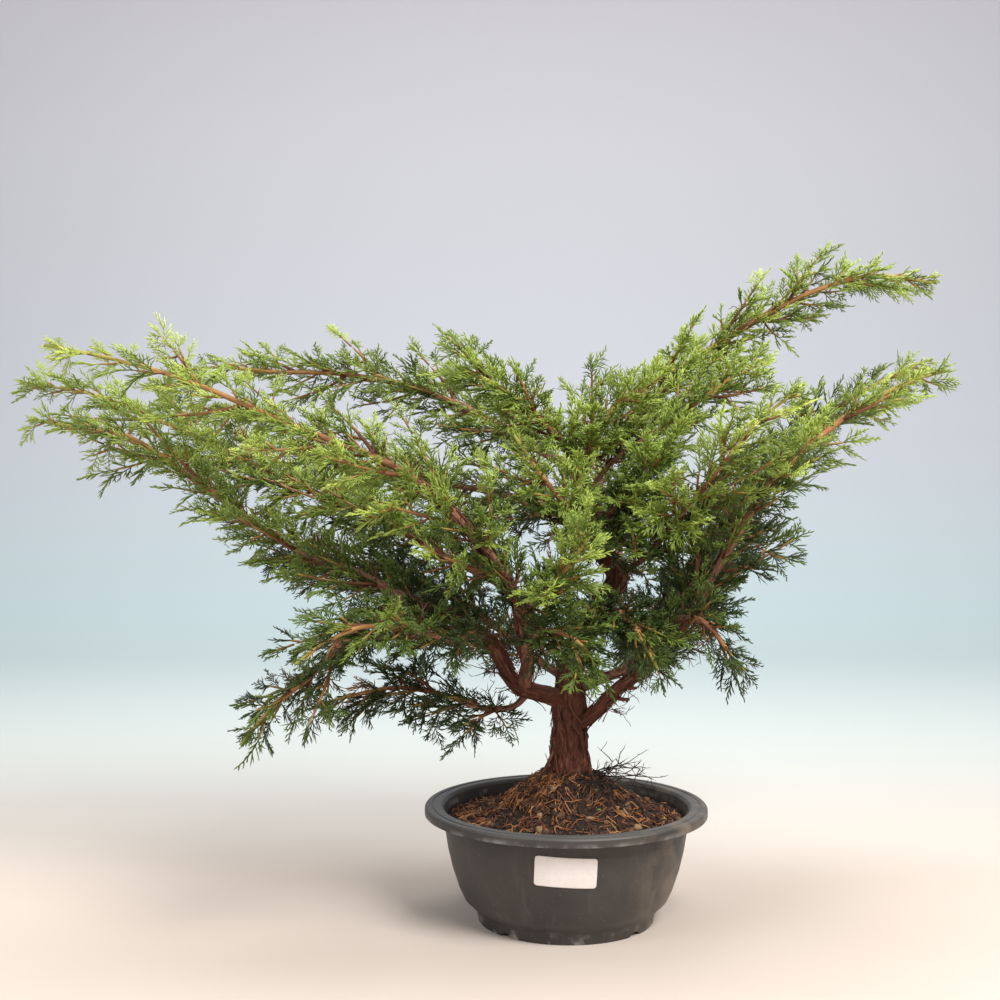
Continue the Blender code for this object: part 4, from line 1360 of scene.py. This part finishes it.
def soil_top(x, y):
    """Height of the rough soil at a place, in millimetres."""
    spot = Vector((x, y, 0.0))
    rough = noise.fractal(spot * 0.045, 0.9, 2.0, 3) * 3.0 + noise.fractal(spot * 0.22, 0.8, 2.1, 4) * 1.5
    calm = min(1.0, max(0.15, (SOIL_REACH - math.hypot(x, y)) / 6.0))
    return mound(x, y) + (rough - 0.6) * calm


def soil_surface():
    surface, tree, shader = new_material("bonsai soil", 0.92)
    here = place_vector(tree)
    crumbs = use_group(tree, PATCHES, here, Scale=260.0, Detail=6.0, Low=0.36, High=0.66)
    colour = blend_colours(tree, crumbs.outputs["Mask"], (0.005, 0.003, 0.002), (0.040, 0.017, 0.009))
    colour = tinted(tree, colour, PATCHES, here, (0.014, 0.007, 0.005), Scale=32.0, Detail=4.0, Low=0.40, High=0.66)
    colour = tinted(tree, colour, SPECKS, here, (0.16, 0.11, 0.07), Scale=420.0, Size=0.24)
    paint(tree, shader, colour)
    bump(tree, shader, crumbs.outputs["Height"], 0.8, 0.0015)
    return surface


# %% Make the soil
def circle_places(radius, steps):
    """Places evenly round a circle about the pot's axis."""
    angles = [2 * math.pi * step / steps for step in range(steps)]
    return [(radius * math.cos(angle), radius * math.sin(angle)) for angle in angles]


def make_soil():
    rings, steps = 84, 260
    points, faces = [(STEM_X * MM, 0.0, soil_top(STEM_X, 0) * MM)], []
    for ring in range(1, rings + 1):
        for x, y in circle_places(SOIL_REACH * ring / rings, steps):
            points.append((x * MM, y * MM, soil_top(x, y) * MM))
    below = [(radius - WALL_THICK - 0.4, height) for radius, height in WALL_OUTSIDE[1:-1]] + [(73.5, 12.4)]
    for radius, height in below:
        points += [(x * MM, y * MM, height * MM) for x, y in circle_places(radius, steps)]
    for step in range(steps):
        faces.append((0, 1 + step, 1 + (step + 1) % steps))
    for ring in range(rings + len(below) - 1):
        base = 1 + ring * steps
        for step in range(steps):
            after = (step + 1) % steps
            faces.append((base + step, base + steps + step, base + steps + after, base + after))
    last = 1 + (rings + len(below) - 1) * steps
    faces.append(tuple(last + step for step in range(steps))[::-1])
    mesh = bpy.data.meshes.new("soil_mound")
    mesh.from_pydata(points, [], faces)
    mesh.shade_smooth()
    soil = place_on_axis("soil_mound", mesh)
    finish_piece(soil, soil_surface(), "soil", "soil")
    print("soil:", len(mesh.polygons), "faces")


make_soil()

# %% [markdown]
# ## What lies on the soil
#
# Dead orange needles, crumbs, clay lumps, small stones, specks of moss and black dead twigs cover the mound. Needles
# are short cords laid on the slope, and the lumps and stones are uneven balls, each kind gathered into one mesh.


# %% Finish of dead needles
def litter_surface():
    surface, tree, shader = new_material("dead needles", 0.7)
    tone, _ = chart_place(tree)
    colour = ramp(tree, tone, [
        (0.0, (0.030, 0.011, 0.006)), (0.30, (0.120, 0.040, 0.015)), (0.60, (0.34, 0.125, 0.040)),
        (0.90, (0.56, 0.27, 0.10)),
    ])
    paint(tree, shader, colour)
    return surface


# %% Make the needle litter
NEEDLE_TUFTS = 820
CLEAR_OF_STEM = 17


def make_litter():
    """Tufts all over the mound, and every fifth one in a drift to the front left of the trunk."""
    chance = np.random.default_rng(31)
    growth = Growth()
    for number in range(NEEDLE_TUFTS):
        radius = SOIL_REACH * math.sqrt(chance.uniform(0.02, 0.97))
        angle = chance.uniform(0, 2 * math.pi)
        if number % 5 == 0:
            radius, angle = chance.uniform(20, 52), math.radians(chance.normal(205, 30))
        x, y = radius * math.cos(angle), radius * math.sin(angle)
        if from_stem(x, y) < CLEAR_OF_STEM:
            continue
        way = chance.uniform(0, 2 * math.pi)
        tone = float(np.clip(chance.normal(0.44, 0.27), 0.02, 0.88))
        for _ in range(int(chance.integers(1, 4))):
            bearing = way + chance.normal(0, 0.5)
            length = chance.uniform(6, 19)
            line = []
            for step in range(4):
                along = length * step / 3
                px = x + along * math.cos(bearing + 0.12 * step)
                py = y + along * math.sin(bearing + 0.12 * step)
                if math.hypot(px, py) > SOIL_REACH - 1.5:
                    break
                line.append((px * MM, py * MM, (soil_top(px, py) + 0.7 + chance.uniform(0, 2.2)) * MM))
            if len(line) == 4:
                growth.add(*cord(line, np.array([0.42, 0.5, 0.42, 0]) * MM, (0.1, 0.4, 0.7, 1.0), tone))
    litter = growth.to_object("needle_litter")
    finish_piece(litter, litter_surface(), "dead_wood")
    print("litter:", len(litter.data.polygons), "triangles")


make_litter()


# %% Black dead twigs and roots
def black_wood_surface():
    surface, tree, shader = new_material("dead roots", 0.75)
    here = place_vector(tree)
    paint(tree, shader, tinted(tree, (0.010, 0.007, 0.006), PATCHES, here, (0.055, 0.032, 0.022), Scale=240.0))
    return surface


def make_dead_twigs():
    chance = np.random.default_rng(71)
    growth = Growth()
    starts = [((20, -8), (1.0, -0.1, 0.40), 60, 4), ((19, -16), (0.9, -0.6, 0.10), 58, 4),
              ((21, 2), (1.0, 0.3, 0.22), 54, 3), ((-22, -18), (-0.9, -0.5, 0.30), 28, 3),
              ((-18, -12), (-0.6, -0.2, 0.8), 16, 2), ((14, -26), (0.6, -0.8, -0.1), 36, 4)]
    for (x, y), heading, reach, count in starts:
        for _ in range(count):
            px, py = x + chance.normal(0, 4), y + chance.normal(0, 5)
            place = np.array([px, py, soil_top(px, py) - 1.0]) * MM
            way = np.array(heading) + chance.normal(0, 0.25, 3)
            way[2] = abs(way[2]) * 0.8
            grow_bare_twig(growth, chance, place, way, reach * chance.uniform(0.55, 1.0) * MM, 0.75 * MM, 3)
    twigs = growth.to_object("dead_roots")
    finish_piece(twigs, black_wood_surface(), "dead_wood", "dead_twig_right", "dead_twig_front", "dead_twig_left")
    print("dead roots:", len(twigs.data.polygons), "triangles")


make_dead_twigs()


# %% Finish of stones, crumbs and moss
def stone_surface(name, dark, pale, fleck):
    surface, tree, shader = new_material(name, 0.85)
    here = place_vector(tree)
    soft = use_group(tree, PATCHES, here, Scale=120.0, Detail=5.0, Low=0.35, High=0.65)
    colour = blend_colours(tree, soft.outputs["Mask"], dark, pale)
    paint(tree, shader, tinted(tree, colour, SPECKS, here, fleck, Scale=900.0, Size=0.3))
    bump(tree, shader, soft.outputs["Height"], 0.5, 0.0008)
    return surface


# %% A heap of lumps
def lumps(name, chance, count, sizes, squash, fineness, near):
    """A mesh of many lumpy balls that lie on the soil, sizes being their smallest and largest radius."""
    edit = bmesh.new()
    for _ in range(count):
        for _ in range(50):
            radius = SOIL_REACH * math.sqrt(chance.uniform(0.03, 0.93))
            angle = chance.uniform(0, 2 * math.pi)
            x, y = radius * math.cos(angle), radius * math.sin(angle)
            if from_stem(x, y) > CLEAR_OF_STEM + 3 and (near is None or near(x, y, chance)):
                break
        size = chance.uniform(*sizes)
        start = len(edit.verts)
        bmesh.ops.create_icosphere(edit, subdivisions=fineness, radius=1.0)
        edit.verts.ensure_lookup_table()
        seed = Vector(chance.uniform(-50, 50, 3))
        turn = Matrix.Rotation(chance.uniform(0, 6.28), 3, "Z") @ Matrix.Rotation(chance.normal(0, 0.4), 3, "X")
        stretch = Vector((size, size * chance.uniform(0.65, 0.95), size * squash * chance.uniform(0.8, 1.2)))
        centre = Vector((x, y, soil_top(x, y) + size * squash * 0.35))
        for vertex in edit.verts[start:]:
            wobble = 1.0 + 0.28 * noise.noise(vertex.co * 1.3 + seed) + 0.10 * noise.noise(vertex.co * 3.5 + seed)
            shaped = Vector(vertex.co[axis] * stretch[axis] for axis in range(3)) * wobble
            vertex.co = (turn @ shaped + centre) * MM
    mesh = bpy.data.meshes.new(name)
    edit.to_mesh(mesh)
    edit.free()
    mesh.shade_smooth()
    return place_on_axis(name, mesh)


# %% Make the heaps
def mostly_front_right(x, y, chance):
    return chance.random() < (0.95 if x > 10 and y < -10 else 0.35)


# how many, smallest and largest radius, squash, fineness of the mesh, where; then the finish's name, its dark, pale
# and fleck colours, the slot, and the solids that the heap stands for
HEAPS = {
    "soil_crumbs": (900, (0.8, 3.0), 0.8, 2, None, "crumbs",
                    (0.009, 0.005, 0.004), (0.085, 0.035, 0.018), (0.17, 0.10, 0.06), "soil"),
    "clay_lumps": (80, (1.6, 3.8), 0.8, 3, None, "clay",
                   (0.060, 0.026, 0.012), (0.20, 0.095, 0.042), (0.30, 0.17, 0.09), "soil"),
    "small_stones": (16, (2.4, 4.4), 0.7, 3, mostly_front_right, "tan stone",
                     (0.16, 0.085, 0.040), (0.34, 0.22, 0.11), (0.50, 0.40, 0.26), "pebble",
                     "pebble_front", "pebble_front_right", "pebble_left", "pebble_right"),
    "moss_specks": (20, (1.0, 2.4), 0.5, 2, None, "moss",
                    (0.045, 0.085, 0.012), (0.16, 0.25, 0.035), (0.30, 0.40, 0.08), "foliage"),
}


def make_ground_cover():
    chance = np.random.default_rng(47)
    for name, (count, sizes, squash, fineness, near, finish, dark, pale, fleck, slot, *nodes) in HEAPS.items():
        heap = lumps(name, chance, count, sizes, squash, fineness, near)
        finish_piece(heap, stone_surface(finish, dark, pale, fleck), slot, *nodes)
        print(name, "has", len(heap.data.polygons), "faces")


make_ground_cover()
